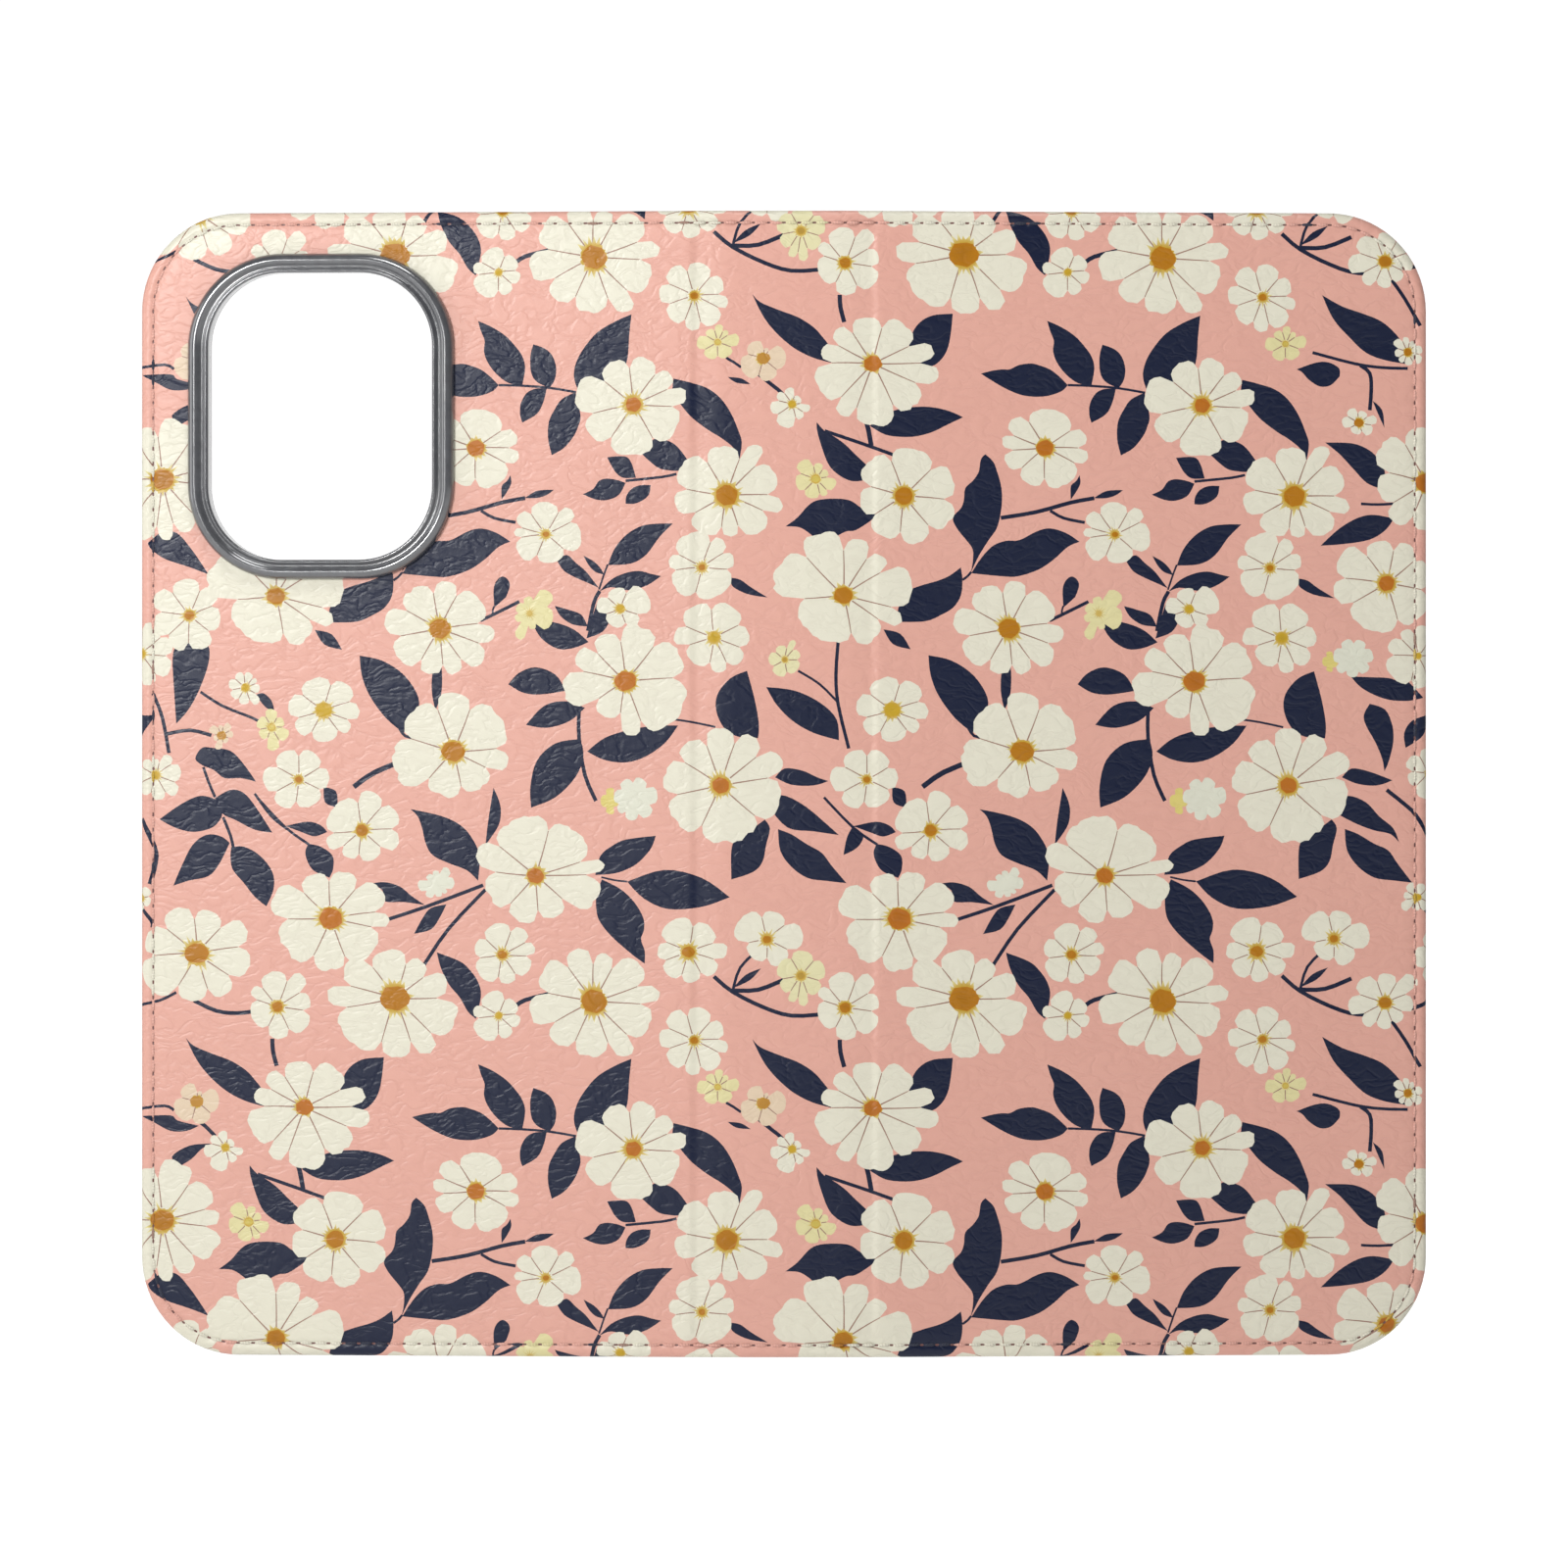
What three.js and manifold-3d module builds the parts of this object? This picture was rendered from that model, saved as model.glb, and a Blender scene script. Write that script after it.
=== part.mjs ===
// Folio phone case: a printed leather book cover sewn round stiffener boards, with a clip-in phone
// shell bonded inside its back panel and card pockets sewn inside its front cover.
//
// Millimetres, +Z up. The case stands on its lower edge, opened out to a shallow V. The printed
// outside faces -Y and the phone shell faces +Y. The origin is the centre of the base.
// Each panel is built in its own frame: the fold's axis is the Z axis, y = 0 is the panel's
// mid-plane, and u is the distance from the fold to the panel's free edge.
import * as THREE from 'three';
import { mergeVertices } from 'three/addons/utils/BufferGeometryUtils.js';
import Module from 'manifold-3d';

const wasm = await Module();
wasm.setup();

// The phone that the case fits.
const PHONE = { width: 70.8, height: 147, depth: 7.8 };
const PHONE_CLEARANCE = 0.2;

// The folio.
const CASE_HEIGHT = 155;
const PANEL_REACH = 78.9; // fold axis to free edge
const FOLD_SPACING = 17.5; // between the two fold axes, across the spine
const FOLD_HALF = 3.55; // flexible strip each side of a fold axis
const CORNER_RADIUS = 13.3;
const FOLD_ANGLE = THREE.MathUtils.degToRad(6); // how far each fold is closed at rest
const BACK_FOLD = { x: -8, y: -9 }; // axis of the fold between back panel and spine

// Layers of a panel, from the outside in, with a glue line between them.
const GLUE = 0.1;
const SKIN = 0.8;
const BOARD = 0.8;
const LINING = 0.6;
const HALF_THICKNESS = (SKIN + BOARD + LINING + 2 * GLUE) / 2;
const SKIN_Y = { low: -HALF_THICKNESS, high: -HALF_THICKNESS + SKIN };
const BOARD_Y = { low: SKIN_Y.high + GLUE, high: SKIN_Y.high + GLUE + BOARD };
const LINING_Y = { low: BOARD_Y.high + GLUE, high: HALF_THICKNESS };

// Edges and seams.
const HEM_WIDTH = 2.6; // skin turned over round the board
const BOARD_INSET = HEM_WIDTH + 0.3;
const LINING_INSET = 0.7;
const SEAM_INSET = 1.65;
const THREAD = { width: 0.4, height: 0.2 };

// Camera opening and the ring that trims it.
const CAMERA = { u: 54.2, z: 127.35 };
const RING = { width: 36.5, height: 44.2, radius: 12.9, thickness: 1.4 };
const WINDOW = { width: 30.6, height: 38.9, radius: 10 };
const COLLAR_WALL = 1.2;
const COLLAR_CLEARANCE = 0.3;
const SHELL_WINDOW_MARGIN = 1;

// Phone shell.
const SHELL_WALL = 1.2;
const SHELL_FLOOR = 1.2;
const SHELL_EDGE_MARGIN = 2.8; // free edge of the panel to the shell's outer wall
const CAVITY_RADIUS = 9.6;
const LIP = { height: 0.6, overhang: 0.8, length: 18 };
const BOND = { thickness: 0.2, inset: 1.6 };
const PORT_NOTCH = 44;
const KEY_NOTCHES = [
  { side: 'free', z: 98, length: 46 },
  { side: 'fold', z: 106, length: 34 },
];
const NOTCH_FLOOR = 2.2; // wall left standing above the shell's floor in a notch

// Closure: discs in the cover's board, steel plates in the back's board.
const CLOSURE = { u: 71.2, heights: { lower: 46, upper: 82 } };
const MAGNET = { radius: 4, thickness: 0.6 };
const KEEPER = { width: 5, height: 22, radius: 1, thickness: 0.6 };
const POCKET_CLEARANCE = 0.3;

// Pockets inside the cover: one full-height cash pocket, and card pockets stepped across it.
const CASH_POCKET = { start: 11, thickness: 0.5 };
const CARD_POCKETS = [
  { name: 'card_pocket_rear', start: 19 },
  { name: 'card_pocket_middle', start: 29 },
  { name: 'card_pocket_front', start: 39 },
];
const CARD_POCKET = { end: 74.6, bottom: 29, top: 126, thickness: 0.4, notchRadius: 9 };

const ARC_STEPS = 6;
const FOLD_STEPS = 6;
const QUARTER = Math.PI / 2;
const SAME_POINT = 1e-4;
const CUTTER_REACH = 1; // how far a cutter runs past what it cuts

const LOOKS = {
  print: { color: 0xe9b5a6, roughness: 0.5, metalness: 0 },
  board: { color: 0x8f877b, roughness: 0.9, metalness: 0 },
  lining: { color: 0x3b3a3d, roughness: 0.95, metalness: 0 },
  pocket: { color: 0x4a4648, roughness: 0.6, metalness: 0 },
  shell: { color: 0x2b2b2d, roughness: 0.45, metalness: 0 },
  ring: { color: 0x5c5d5f, roughness: 0.2, metalness: 0.1 },
  bond: { color: 0xd9d4c4, roughness: 0.7, metalness: 0 },
  thread: { color: 0xf0d8cc, roughness: 0.7, metalness: 0 },
  steel: { color: 0xa9adb1, roughness: 0.35, metalness: 1 },
};

// --- Outlines, drawn in (u, z) -----------------------------------------------------------------

// A panel from its fold side to its free edge, rounded at the two free corners.
function panelOutline({ from, to, inset, radius }) {
  const shape = new THREE.Shape();
  const low = inset;
  const high = CASE_HEIGHT - inset;
  shape.moveTo(from, low);
  shape.lineTo(to - radius, low);
  shape.absarc(to - radius, low + radius, radius, -QUARTER, 0, false);
  shape.lineTo(to, high - radius);
  shape.absarc(to - radius, high - radius, radius, 0, QUARTER, false);
  shape.lineTo(from, high);
  return shape;
}

function roundedRectangle({ u, z, width, height, radius }) {
  const [left, right] = [u - width / 2, u + width / 2];
  const [low, high] = [z - height / 2, z + height / 2];
  const shape = new THREE.Shape();
  shape.moveTo(left + radius, low);
  shape.lineTo(right - radius, low);
  shape.absarc(right - radius, low + radius, radius, -QUARTER, 0, false);
  shape.lineTo(right, high - radius);
  shape.absarc(right - radius, high - radius, radius, 0, QUARTER, false);
  shape.lineTo(left + radius, high);
  shape.absarc(left + radius, high - radius, radius, QUARTER, 2 * QUARTER, false);
  shape.lineTo(left, low + radius);
  shape.absarc(left + radius, low + radius, radius, 2 * QUARTER, 3 * QUARTER, false);
  return shape;
}

function rectangle({ from, to, low, high }) {
  const shape = new THREE.Shape();
  shape.moveTo(from, low);
  shape.lineTo(to, low);
  shape.lineTo(to, high);
  shape.lineTo(from, high);
  return shape;
}

// A thread that runs along three sides of a panel and is open towards the fold.
function seamOutline({ from, to, low, high, radius }) {
  const half = THREAD.width / 2;
  const outer = radius + half;
  const inner = radius - half;
  const shape = new THREE.Shape();
  shape.moveTo(from, low - half);
  shape.lineTo(to - radius, low - half);
  shape.absarc(to - radius, low + radius, outer, -QUARTER, 0, false);
  shape.lineTo(to + half, high - radius);
  shape.absarc(to - radius, high - radius, outer, 0, QUARTER, false);
  shape.lineTo(from, high + half);
  shape.lineTo(from, high - half);
  shape.lineTo(to - radius, high - half);
  shape.absarc(to - radius, high - radius, inner, QUARTER, 0, true);
  shape.lineTo(to - half, low + radius);
  shape.absarc(to - radius, low + radius, inner, 0, -QUARTER, true);
  shape.lineTo(from, low + half);
  return shape;
}

// --- Solids --------------------------------------------------------------------------------------

// The corners of an outline, without the repeats where an arc meets a line.
function corners(path) {
  const points = path.getPoints(ARC_STEPS);
  return points.filter((p, i) => p.distanceTo(points[(i + 1) % points.length]) > SAME_POINT);
}

// The slab of an outline between two depths. Side 1 runs towards +X from its fold, side -1 towards -X.
function slab(outline, { low, high }, side = 1) {
  const placed = (path) => {
    const points = corners(path).map((p) => new THREE.Vector2(side * p.x, p.y));
    return side > 0 ? points : points.reverse();
  };
  const shape = new THREE.Shape(placed(outline));
  shape.holes = outline.holes.map((hole) => new THREE.Path(placed(hole)));
  const geometry = new THREE.ExtrudeGeometry(shape, { depth: high - low, bevelEnabled: false });
  geometry.rotateX(QUARTER);
  geometry.translate(0, high, 0);
  return geometry;
}

function toManifold(geometry) {
  const bare = geometry.clone();
  bare.deleteAttribute('normal');
  bare.deleteAttribute('uv');
  const merged = mergeVertices(bare, SAME_POINT);
  return new wasm.Manifold(
    new wasm.Mesh({
      numProp: 3,
      vertProperties: new Float32Array(merged.attributes.position.array),
      triVerts: new Uint32Array(merged.index.array),
    }),
  );
}

function toGeometry(manifold) {
  const mesh = manifold.getMesh();
  const geometry = new THREE.BufferGeometry();
  geometry.setAttribute('position', new THREE.BufferAttribute(mesh.vertProperties, 3));
  geometry.setIndex(new THREE.BufferAttribute(mesh.triVerts, 1));
  geometry.computeVertexNormals();
  return geometry;
}

function cut(base, ...tools) {
  const solid = tools.reduce((left, tool) => left.subtract(toManifold(tool)), toManifold(base));
  return toGeometry(solid);
}

function join(base, ...others) {
  const solid = others.reduce((left, other) => left.add(toManifold(other)), toManifold(base));
  return toGeometry(solid);
}

function add(group, name, geometry, look) {
  const mesh = new THREE.Mesh(geometry, new THREE.MeshStandardMaterial(LOOKS[look]));
  mesh.name = name;
  group.add(mesh);
}

function cameraOpening(margin) {
  return roundedRectangle({
    ...CAMERA,
    width: WINDOW.width + 2 * margin,
    height: WINDOW.height + 2 * margin,
    radius: WINDOW.radius + margin,
  });
}

// --- Panels --------------------------------------------------------------------------------------

// Skin: a thin sheet whose free edges turn in over the board as a hem.
function panelSkin(side, holes = []) {
  const outline = panelOutline({
    from: FOLD_HALF,
    to: PANEL_REACH,
    inset: 0,
    radius: CORNER_RADIUS,
  });
  outline.holes = holes;
  const tray = panelOutline({
    from: 0,
    to: PANEL_REACH - HEM_WIDTH,
    inset: HEM_WIDTH,
    radius: CORNER_RADIUS - HEM_WIDTH,
  });
  const whole = slab(outline, { low: SKIN_Y.low, high: BOARD_Y.high }, side);
  return cut(whole, slab(tray, { low: SKIN_Y.high, high: HALF_THICKNESS }, side));
}

function panelLayer(side, depth, inset, holes = []) {
  const outline = panelOutline({
    from: FOLD_HALF,
    to: PANEL_REACH - inset,
    inset,
    radius: CORNER_RADIUS - inset,
  });
  outline.holes = holes;
  return slab(outline, depth, side);
}

function panelSeam(side, from, depth) {
  const outline = seamOutline({
    from,
    to: PANEL_REACH - SEAM_INSET,
    low: SEAM_INSET,
    high: CASE_HEIGHT - SEAM_INSET,
    radius: CORNER_RADIUS - SEAM_INSET,
  });
  return slab(outline, depth, side);
}

const OUTER_THREAD_Y = { low: SKIN_Y.low - GLUE - THREAD.height, high: SKIN_Y.low - GLUE };
const INNER_THREAD_Y = { low: LINING_Y.high + GLUE, high: LINING_Y.high + GLUE + THREAD.height };

const keeperHole = (z) =>
  roundedRectangle({
    u: CLOSURE.u,
    z,
    width: KEEPER.width + 2 * POCKET_CLEARANCE,
    height: KEEPER.height + 2 * POCKET_CLEARANCE,
    radius: KEEPER.radius,
  });

function magnetHole(z) {
  const hole = new THREE.Path();
  hole.absarc(CLOSURE.u, z, MAGNET.radius + POCKET_CLEARANCE, 0, 4 * QUARTER, false);
  return hole;
}

function centredIn(layer, thickness) {
  const middle = (layer.low + layer.high) / 2;
  return { low: middle - thickness / 2, high: middle + thickness / 2 };
}

// --- Phone shell ---------------------------------------------------------------------------------

const BOND_Y = { low: LINING_Y.high + GLUE, high: LINING_Y.high + GLUE + BOND.thickness };
const SHELL_BASE = BOND_Y.high + GLUE;
const CAVITY_FLOOR = SHELL_BASE + SHELL_FLOOR;
const LIP_BASE = CAVITY_FLOOR + PHONE.depth;
const SHELL_RIM = LIP_BASE + LIP.height;
const CAVITY = {
  u: PANEL_REACH - SHELL_EDGE_MARGIN - SHELL_WALL - PHONE_CLEARANCE - PHONE.width / 2,
  z: CASE_HEIGHT / 2,
  width: PHONE.width + 2 * PHONE_CLEARANCE,
  height: PHONE.height + 2 * PHONE_CLEARANCE,
  radius: CAVITY_RADIUS,
};

function grown(rectangleSize, margin) {
  return {
    ...rectangleSize,
    width: rectangleSize.width + 2 * margin,
    height: rectangleSize.height + 2 * margin,
    radius: rectangleSize.radius + margin,
  };
}

// Where the lips leave off along each side, the mouth is as wide as the cavity.
function mouthBetweenLips() {
  const halfWidth = CAVITY.width / 2;
  const halfHeight = CAVITY.height / 2;
  const across = rectangle({
    from: CAVITY.u - halfWidth,
    to: CAVITY.u + halfWidth,
    low: CAVITY.z - halfHeight + LIP.length,
    high: CAVITY.z + halfHeight - LIP.length,
  });
  const along = rectangle({
    from: CAVITY.u - halfWidth + LIP.length,
    to: CAVITY.u + halfWidth - LIP.length,
    low: CAVITY.z - halfHeight,
    high: CAVITY.z + halfHeight,
  });
  return [across, along];
}

// Notches down the walls for the charging port and for the side keys.
function wallNotches() {
  const reach = SHELL_WALL + CUTTER_REACH;
  const port = rectangle({
    from: CAVITY.u - PORT_NOTCH / 2,
    to: CAVITY.u + PORT_NOTCH / 2,
    low: CAVITY.z - CAVITY.height / 2 - reach,
    high: CAVITY.z - CAVITY.height / 2 + SHELL_WALL,
  });
  const keys = KEY_NOTCHES.map(({ side, z, length }) => {
    const wall = CAVITY.u + (side === 'free' ? 1 : -1) * (CAVITY.width / 2);
    return rectangle({ from: wall - reach, to: wall + reach, low: z - length / 2, high: z + length / 2 });
  });
  return [port, ...keys];
}

function phoneShell() {
  const above = SHELL_RIM + CUTTER_REACH;
  const base = roundedRectangle(grown(CAVITY, SHELL_WALL));
  base.holes = [cameraOpening(SHELL_WINDOW_MARGIN)];
  const openings = [
    slab(roundedRectangle(CAVITY), { low: CAVITY_FLOOR, high: LIP_BASE }, -1),
    slab(roundedRectangle(grown(CAVITY, -LIP.overhang)), { low: CAVITY_FLOOR, high: above }, -1),
    ...mouthBetweenLips().map((outline) => slab(outline, { low: LIP_BASE - CUTTER_REACH, high: above }, -1)),
    ...wallNotches().map((outline) => slab(outline, { low: CAVITY_FLOOR + NOTCH_FLOOR, high: above }, -1)),
  ];
  return cut(slab(base, { low: SHELL_BASE, high: SHELL_RIM }, -1), ...openings);
}

function bondSheet() {
  const outline = roundedRectangle(grown(CAVITY, -BOND.inset));
  outline.holes = [cameraOpening(BOND.inset)];
  return slab(outline, BOND_Y, -1);
}

// The camera ring: a flange on the skin and a collar through the panel.
function cameraRing() {
  const flange = roundedRectangle({ ...CAMERA, ...RING });
  flange.holes = [cameraOpening(0)];
  const collar = cameraOpening(COLLAR_WALL);
  collar.holes = [cameraOpening(0)];
  const flangeHigh = SKIN_Y.low - GLUE;
  return join(
    slab(flange, { low: flangeHigh - RING.thickness, high: flangeHigh }, -1),
    slab(collar, { low: flangeHigh - GLUE, high: HALF_THICKNESS }, -1),
  );
}

// --- Spine and folds -----------------------------------------------------------------------------

const SPINE = { from: FOLD_HALF, to: FOLD_SPACING - FOLD_HALF };

function spineLayer(depth, inset) {
  return slab(rectangle({ ...SPINE, low: inset, high: CASE_HEIGHT - inset }), depth);
}

function spineSkin() {
  const tray = rectangle({ from: 0, to: FOLD_SPACING, low: HEM_WIDTH, high: CASE_HEIGHT - HEM_WIDTH });
  return cut(
    spineLayer({ low: SKIN_Y.low, high: BOARD_Y.high }, 0),
    slab(tray, { low: SKIN_Y.high, high: HALF_THICKNESS }),
  );
}

function spineThread(z, depth) {
  const half = THREAD.width / 2;
  return slab(rectangle({ ...SPINE, low: z - half, high: z + half }), depth);
}

// A strip that bends about the fold axis, in the frame of the panel before the fold.
function foldStrip({ low, high }, inset) {
  const reach = FOLD_HALF - GLUE;
  const bent = (along, y) => {
    const share = (along + FOLD_HALF) / (2 * FOLD_HALF);
    const turn = FOLD_ANGLE * share * share * (3 - 2 * share);
    return new THREE.Vector2(along, y).rotateAround(new THREE.Vector2(0, 0), turn);
  };
  const stations = Array.from({ length: FOLD_STEPS + 1 }, (_, i) => reach * ((2 * i) / FOLD_STEPS - 1));
  const section = new THREE.Shape([
    ...stations.map((along) => bent(along, low)),
    ...stations.reverse().map((along) => bent(along, high)),
  ]);
  const depth = CASE_HEIGHT - 2 * inset;
  const geometry = new THREE.ExtrudeGeometry(section, { depth, bevelEnabled: false });
  geometry.translate(0, 0, inset);
  return geometry;
}

// --- Pockets -------------------------------------------------------------------------------------

const CASH_Y = { low: LINING_Y.high + GLUE, high: LINING_Y.high + GLUE + CASH_POCKET.thickness };

function cardPocketDepth(index) {
  const low = CASH_Y.high + GLUE + index * (CARD_POCKET.thickness + GLUE);
  return { low, high: low + CARD_POCKET.thickness };
}

// A card pocket with a thumb notch in its mouth, which faces the spine.
function cardPocketOutline(start) {
  const { end, bottom, top, notchRadius } = CARD_POCKET;
  const middle = (bottom + top) / 2;
  const shape = new THREE.Shape();
  shape.moveTo(start, bottom);
  shape.lineTo(end, bottom);
  shape.lineTo(end, top);
  shape.lineTo(start, top);
  shape.lineTo(start, middle + notchRadius);
  shape.absarc(start, middle, notchRadius, QUARTER, -QUARTER, true);
  return shape;
}

function cashPocket() {
  const outline = panelOutline({
    from: CASH_POCKET.start,
    to: PANEL_REACH - LINING_INSET,
    inset: LINING_INSET,
    radius: CORNER_RADIUS - LINING_INSET,
  });
  return slab(outline, CASH_Y);
}

function pocketSeam() {
  const front = CARD_POCKETS.length - 1;
  const { low, high } = { low: CARD_POCKET.bottom + SEAM_INSET, high: CARD_POCKET.top - SEAM_INSET };
  const outline = seamOutline({
    from: CARD_POCKETS[front].start,
    to: CARD_POCKET.end - SEAM_INSET,
    low,
    high,
    radius: THREAD.width,
  });
  const start = cardPocketDepth(front).high + GLUE;
  return slab(outline, { low: start, high: start + THREAD.height });
}

// --- Assembly ------------------------------------------------------------------------------------

const phoneCase = new THREE.Group();

const back = new THREE.Group();
back.position.set(BACK_FOLD.x, BACK_FOLD.y, 0);
phoneCase.add(back);

const spine = new THREE.Group();
spine.position.copy(back.position);
spine.rotation.z = FOLD_ANGLE;
phoneCase.add(spine);

const coverFold = new THREE.Group();
coverFold.position.x = FOLD_SPACING;
spine.add(coverFold);

const cover = new THREE.Group();
cover.rotation.z = FOLD_ANGLE;
coverFold.add(cover);

// Back panel.
add(back, 'outer_skin_back', panelSkin(-1, [cameraOpening(COLLAR_WALL + COLLAR_CLEARANCE)]), 'print');
add(
  back,
  'stiffener_back',
  panelLayer(-1, BOARD_Y, BOARD_INSET, [
    cameraOpening(COLLAR_WALL + 2 * COLLAR_CLEARANCE),
    ...Object.values(CLOSURE.heights).map(keeperHole),
  ]),
  'board',
);
add(
  back,
  'lining_back',
  panelLayer(-1, LINING_Y, LINING_INSET, [cameraOpening(COLLAR_WALL + COLLAR_CLEARANCE)]),
  'lining',
);
add(back, 'camera_ring', cameraRing(), 'ring');
add(back, 'shell_bond_sheet', bondSheet(), 'bond');
add(back, 'phone_shell', phoneShell(), 'shell');
for (const [place, z] of Object.entries(CLOSURE.heights)) {
  const plate = slab(
    roundedRectangle({ u: CLOSURE.u, z, ...KEEPER }),
    centredIn(BOARD_Y, KEEPER.thickness),
    -1,
  );
  add(back, `keeper_plate_${place}`, plate, 'steel');
}
add(back, 'seam_thread_back_outer', panelSeam(-1, FOLD_HALF, OUTER_THREAD_Y), 'thread');
add(back, 'seam_thread_back_inner', panelSeam(-1, FOLD_HALF, INNER_THREAD_Y), 'thread');

// Spine, and the flexible strips that join it to the panels.
add(spine, 'outer_skin_spine', spineSkin(), 'print');
add(spine, 'stiffener_spine', spineLayer(BOARD_Y, BOARD_INSET), 'board');
add(spine, 'lining_spine', spineLayer(LINING_Y, LINING_INSET), 'lining');
for (const [edge, z] of [['bottom', SEAM_INSET], ['top', CASE_HEIGHT - SEAM_INSET]]) {
  add(spine, `seam_thread_spine_${edge}_outer`, spineThread(z, OUTER_THREAD_Y), 'thread');
  add(spine, `seam_thread_spine_${edge}_inner`, spineThread(z, INNER_THREAD_Y), 'thread');
}
for (const [name, group] of [['back', back], ['cover', coverFold]]) {
  add(group, `fold_skin_${name}`, foldStrip(SKIN_Y, GLUE), 'print');
  add(group, `fold_lining_${name}`, foldStrip(LINING_Y, LINING_INSET), 'lining');
}

// Front cover.
add(cover, 'outer_skin_cover', panelSkin(1), 'print');
add(
  cover,
  'stiffener_cover',
  panelLayer(1, BOARD_Y, BOARD_INSET, Object.values(CLOSURE.heights).map(magnetHole)),
  'board',
);
add(cover, 'lining_cover', panelLayer(1, LINING_Y, LINING_INSET), 'lining');
for (const [place, z] of Object.entries(CLOSURE.heights)) {
  const disc = new THREE.CylinderGeometry(MAGNET.radius, MAGNET.radius, MAGNET.thickness, 4 * ARC_STEPS);
  disc.translate(CLOSURE.u, (BOARD_Y.low + BOARD_Y.high) / 2, z);
  add(cover, `magnet_${place}`, disc, 'steel');
}
add(cover, 'cash_pocket', cashPocket(), 'pocket');
CARD_POCKETS.forEach(({ name, start }, index) => {
  add(cover, name, slab(cardPocketOutline(start), cardPocketDepth(index)), 'pocket');
});
add(cover, 'pocket_seam_thread', pocketSeam(), 'thread');
add(cover, 'seam_thread_cover_outer', panelSeam(1, FOLD_HALF, OUTER_THREAD_Y), 'thread');
add(
  cover,
  'seam_thread_cover_inner',
  panelSeam(1, CASH_POCKET.start, { low: CASH_Y.high + GLUE, high: CASH_Y.high + GLUE + THREAD.height }),
  'thread',
);

export default phoneCase;
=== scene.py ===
"""Folio phone case, opened out: printed skin, seams, camera ring, lining, pockets and phone shell."""
import bmesh
import bpy
import math
import numpy as np
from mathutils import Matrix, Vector
from mathutils.geometry import delaunay_2d_cdt


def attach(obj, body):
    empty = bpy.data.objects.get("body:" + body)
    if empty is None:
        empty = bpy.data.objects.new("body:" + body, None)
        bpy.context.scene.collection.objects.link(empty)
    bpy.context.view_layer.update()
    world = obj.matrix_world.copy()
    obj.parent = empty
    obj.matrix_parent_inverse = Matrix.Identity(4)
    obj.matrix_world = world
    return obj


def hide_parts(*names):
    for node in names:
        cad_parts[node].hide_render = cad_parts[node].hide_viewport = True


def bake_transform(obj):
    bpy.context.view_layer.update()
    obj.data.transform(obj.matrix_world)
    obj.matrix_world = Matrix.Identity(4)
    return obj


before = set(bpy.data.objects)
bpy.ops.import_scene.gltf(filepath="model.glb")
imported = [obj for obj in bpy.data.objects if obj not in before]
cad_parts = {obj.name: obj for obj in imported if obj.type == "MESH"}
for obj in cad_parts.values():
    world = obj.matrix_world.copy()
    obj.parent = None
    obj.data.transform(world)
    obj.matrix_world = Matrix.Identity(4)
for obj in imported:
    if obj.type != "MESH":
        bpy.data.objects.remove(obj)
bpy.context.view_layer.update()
MM = 0.001

# ---------------------------------------------------------------------------------------------
# The case laid flat. s runs along the case from the middle of the spine, z up from the lower
# edge, and depth from the mid-plane: negative outside, positive inside. All in millimetres.
# ---------------------------------------------------------------------------------------------
HEIGHT = 155.0
FOLD = 8.75                      # spine centre to each fold axis
REACH = 78.9                     # fold axis to free edge
HALF = FOLD + REACH
FOLD_HALF = 3.55
CORNER = 13.3
OPEN_ANGLE = math.radians(6)     # how far each fold is closed at rest
BACK_AXIS = np.array([-8.0, -9.0])
SPINE_DIR = np.array([math.cos(OPEN_ANGLE), math.sin(OPEN_ANGLE)])
COVER_AXIS = BACK_AXIS + 2 * FOLD * SPINE_DIR
FACE = 1.2                       # half the thickness of a panel
SEAM = 1.65                      # seam line in from the edge
BOARD_EDGE = FOLD + FOLD_HALF
CAMERA = (-FOLD - 54.2, 127.35)
PITCH_STEPS = 4                  # outline stations for each stitch


def ease(t):
    t = np.clip(t, 0, 1)
    return t * t * (3 - 2 * t)


def fold_up(s, depth, z):
    """Points of the flat case, in metres, in the shallow V it rests in."""
    s, depth, z = (np.asarray(v, float) for v in (s, depth, z))
    near_back = s < 0
    along = np.where(near_back, s + FOLD, s - FOLD)
    share = ease((along + FOLD_HALF) / (2 * FOLD_HALF))
    turn = OPEN_ANGLE * share + np.where(near_back, 0, OPEN_ANGLE)
    x = np.where(near_back, BACK_AXIS[0], COVER_AXIS[0]) + along * np.cos(turn) - depth * np.sin(turn)
    y = np.where(near_back, BACK_AXIS[1], COVER_AXIS[1]) + along * np.sin(turn) + depth * np.cos(turn)
    return np.stack([x, y, z], -1) * MM


def on_case(s, depth, z):
    return tuple(float(c) for c in fold_up(s, depth, z))


# ---------------------------------------------------------------------------------------------
# The floral print. Motifs are laid out in millimetres on one repeat of the print, and again for
# the strips at the two ends of the case, where the repeat is cut differently.
# ---------------------------------------------------------------------------------------------
REPEAT = (76.8, 100.64)
REPEAT_AT = (-18.5, 49.2)        # lower left corner of the middle repeat

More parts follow.
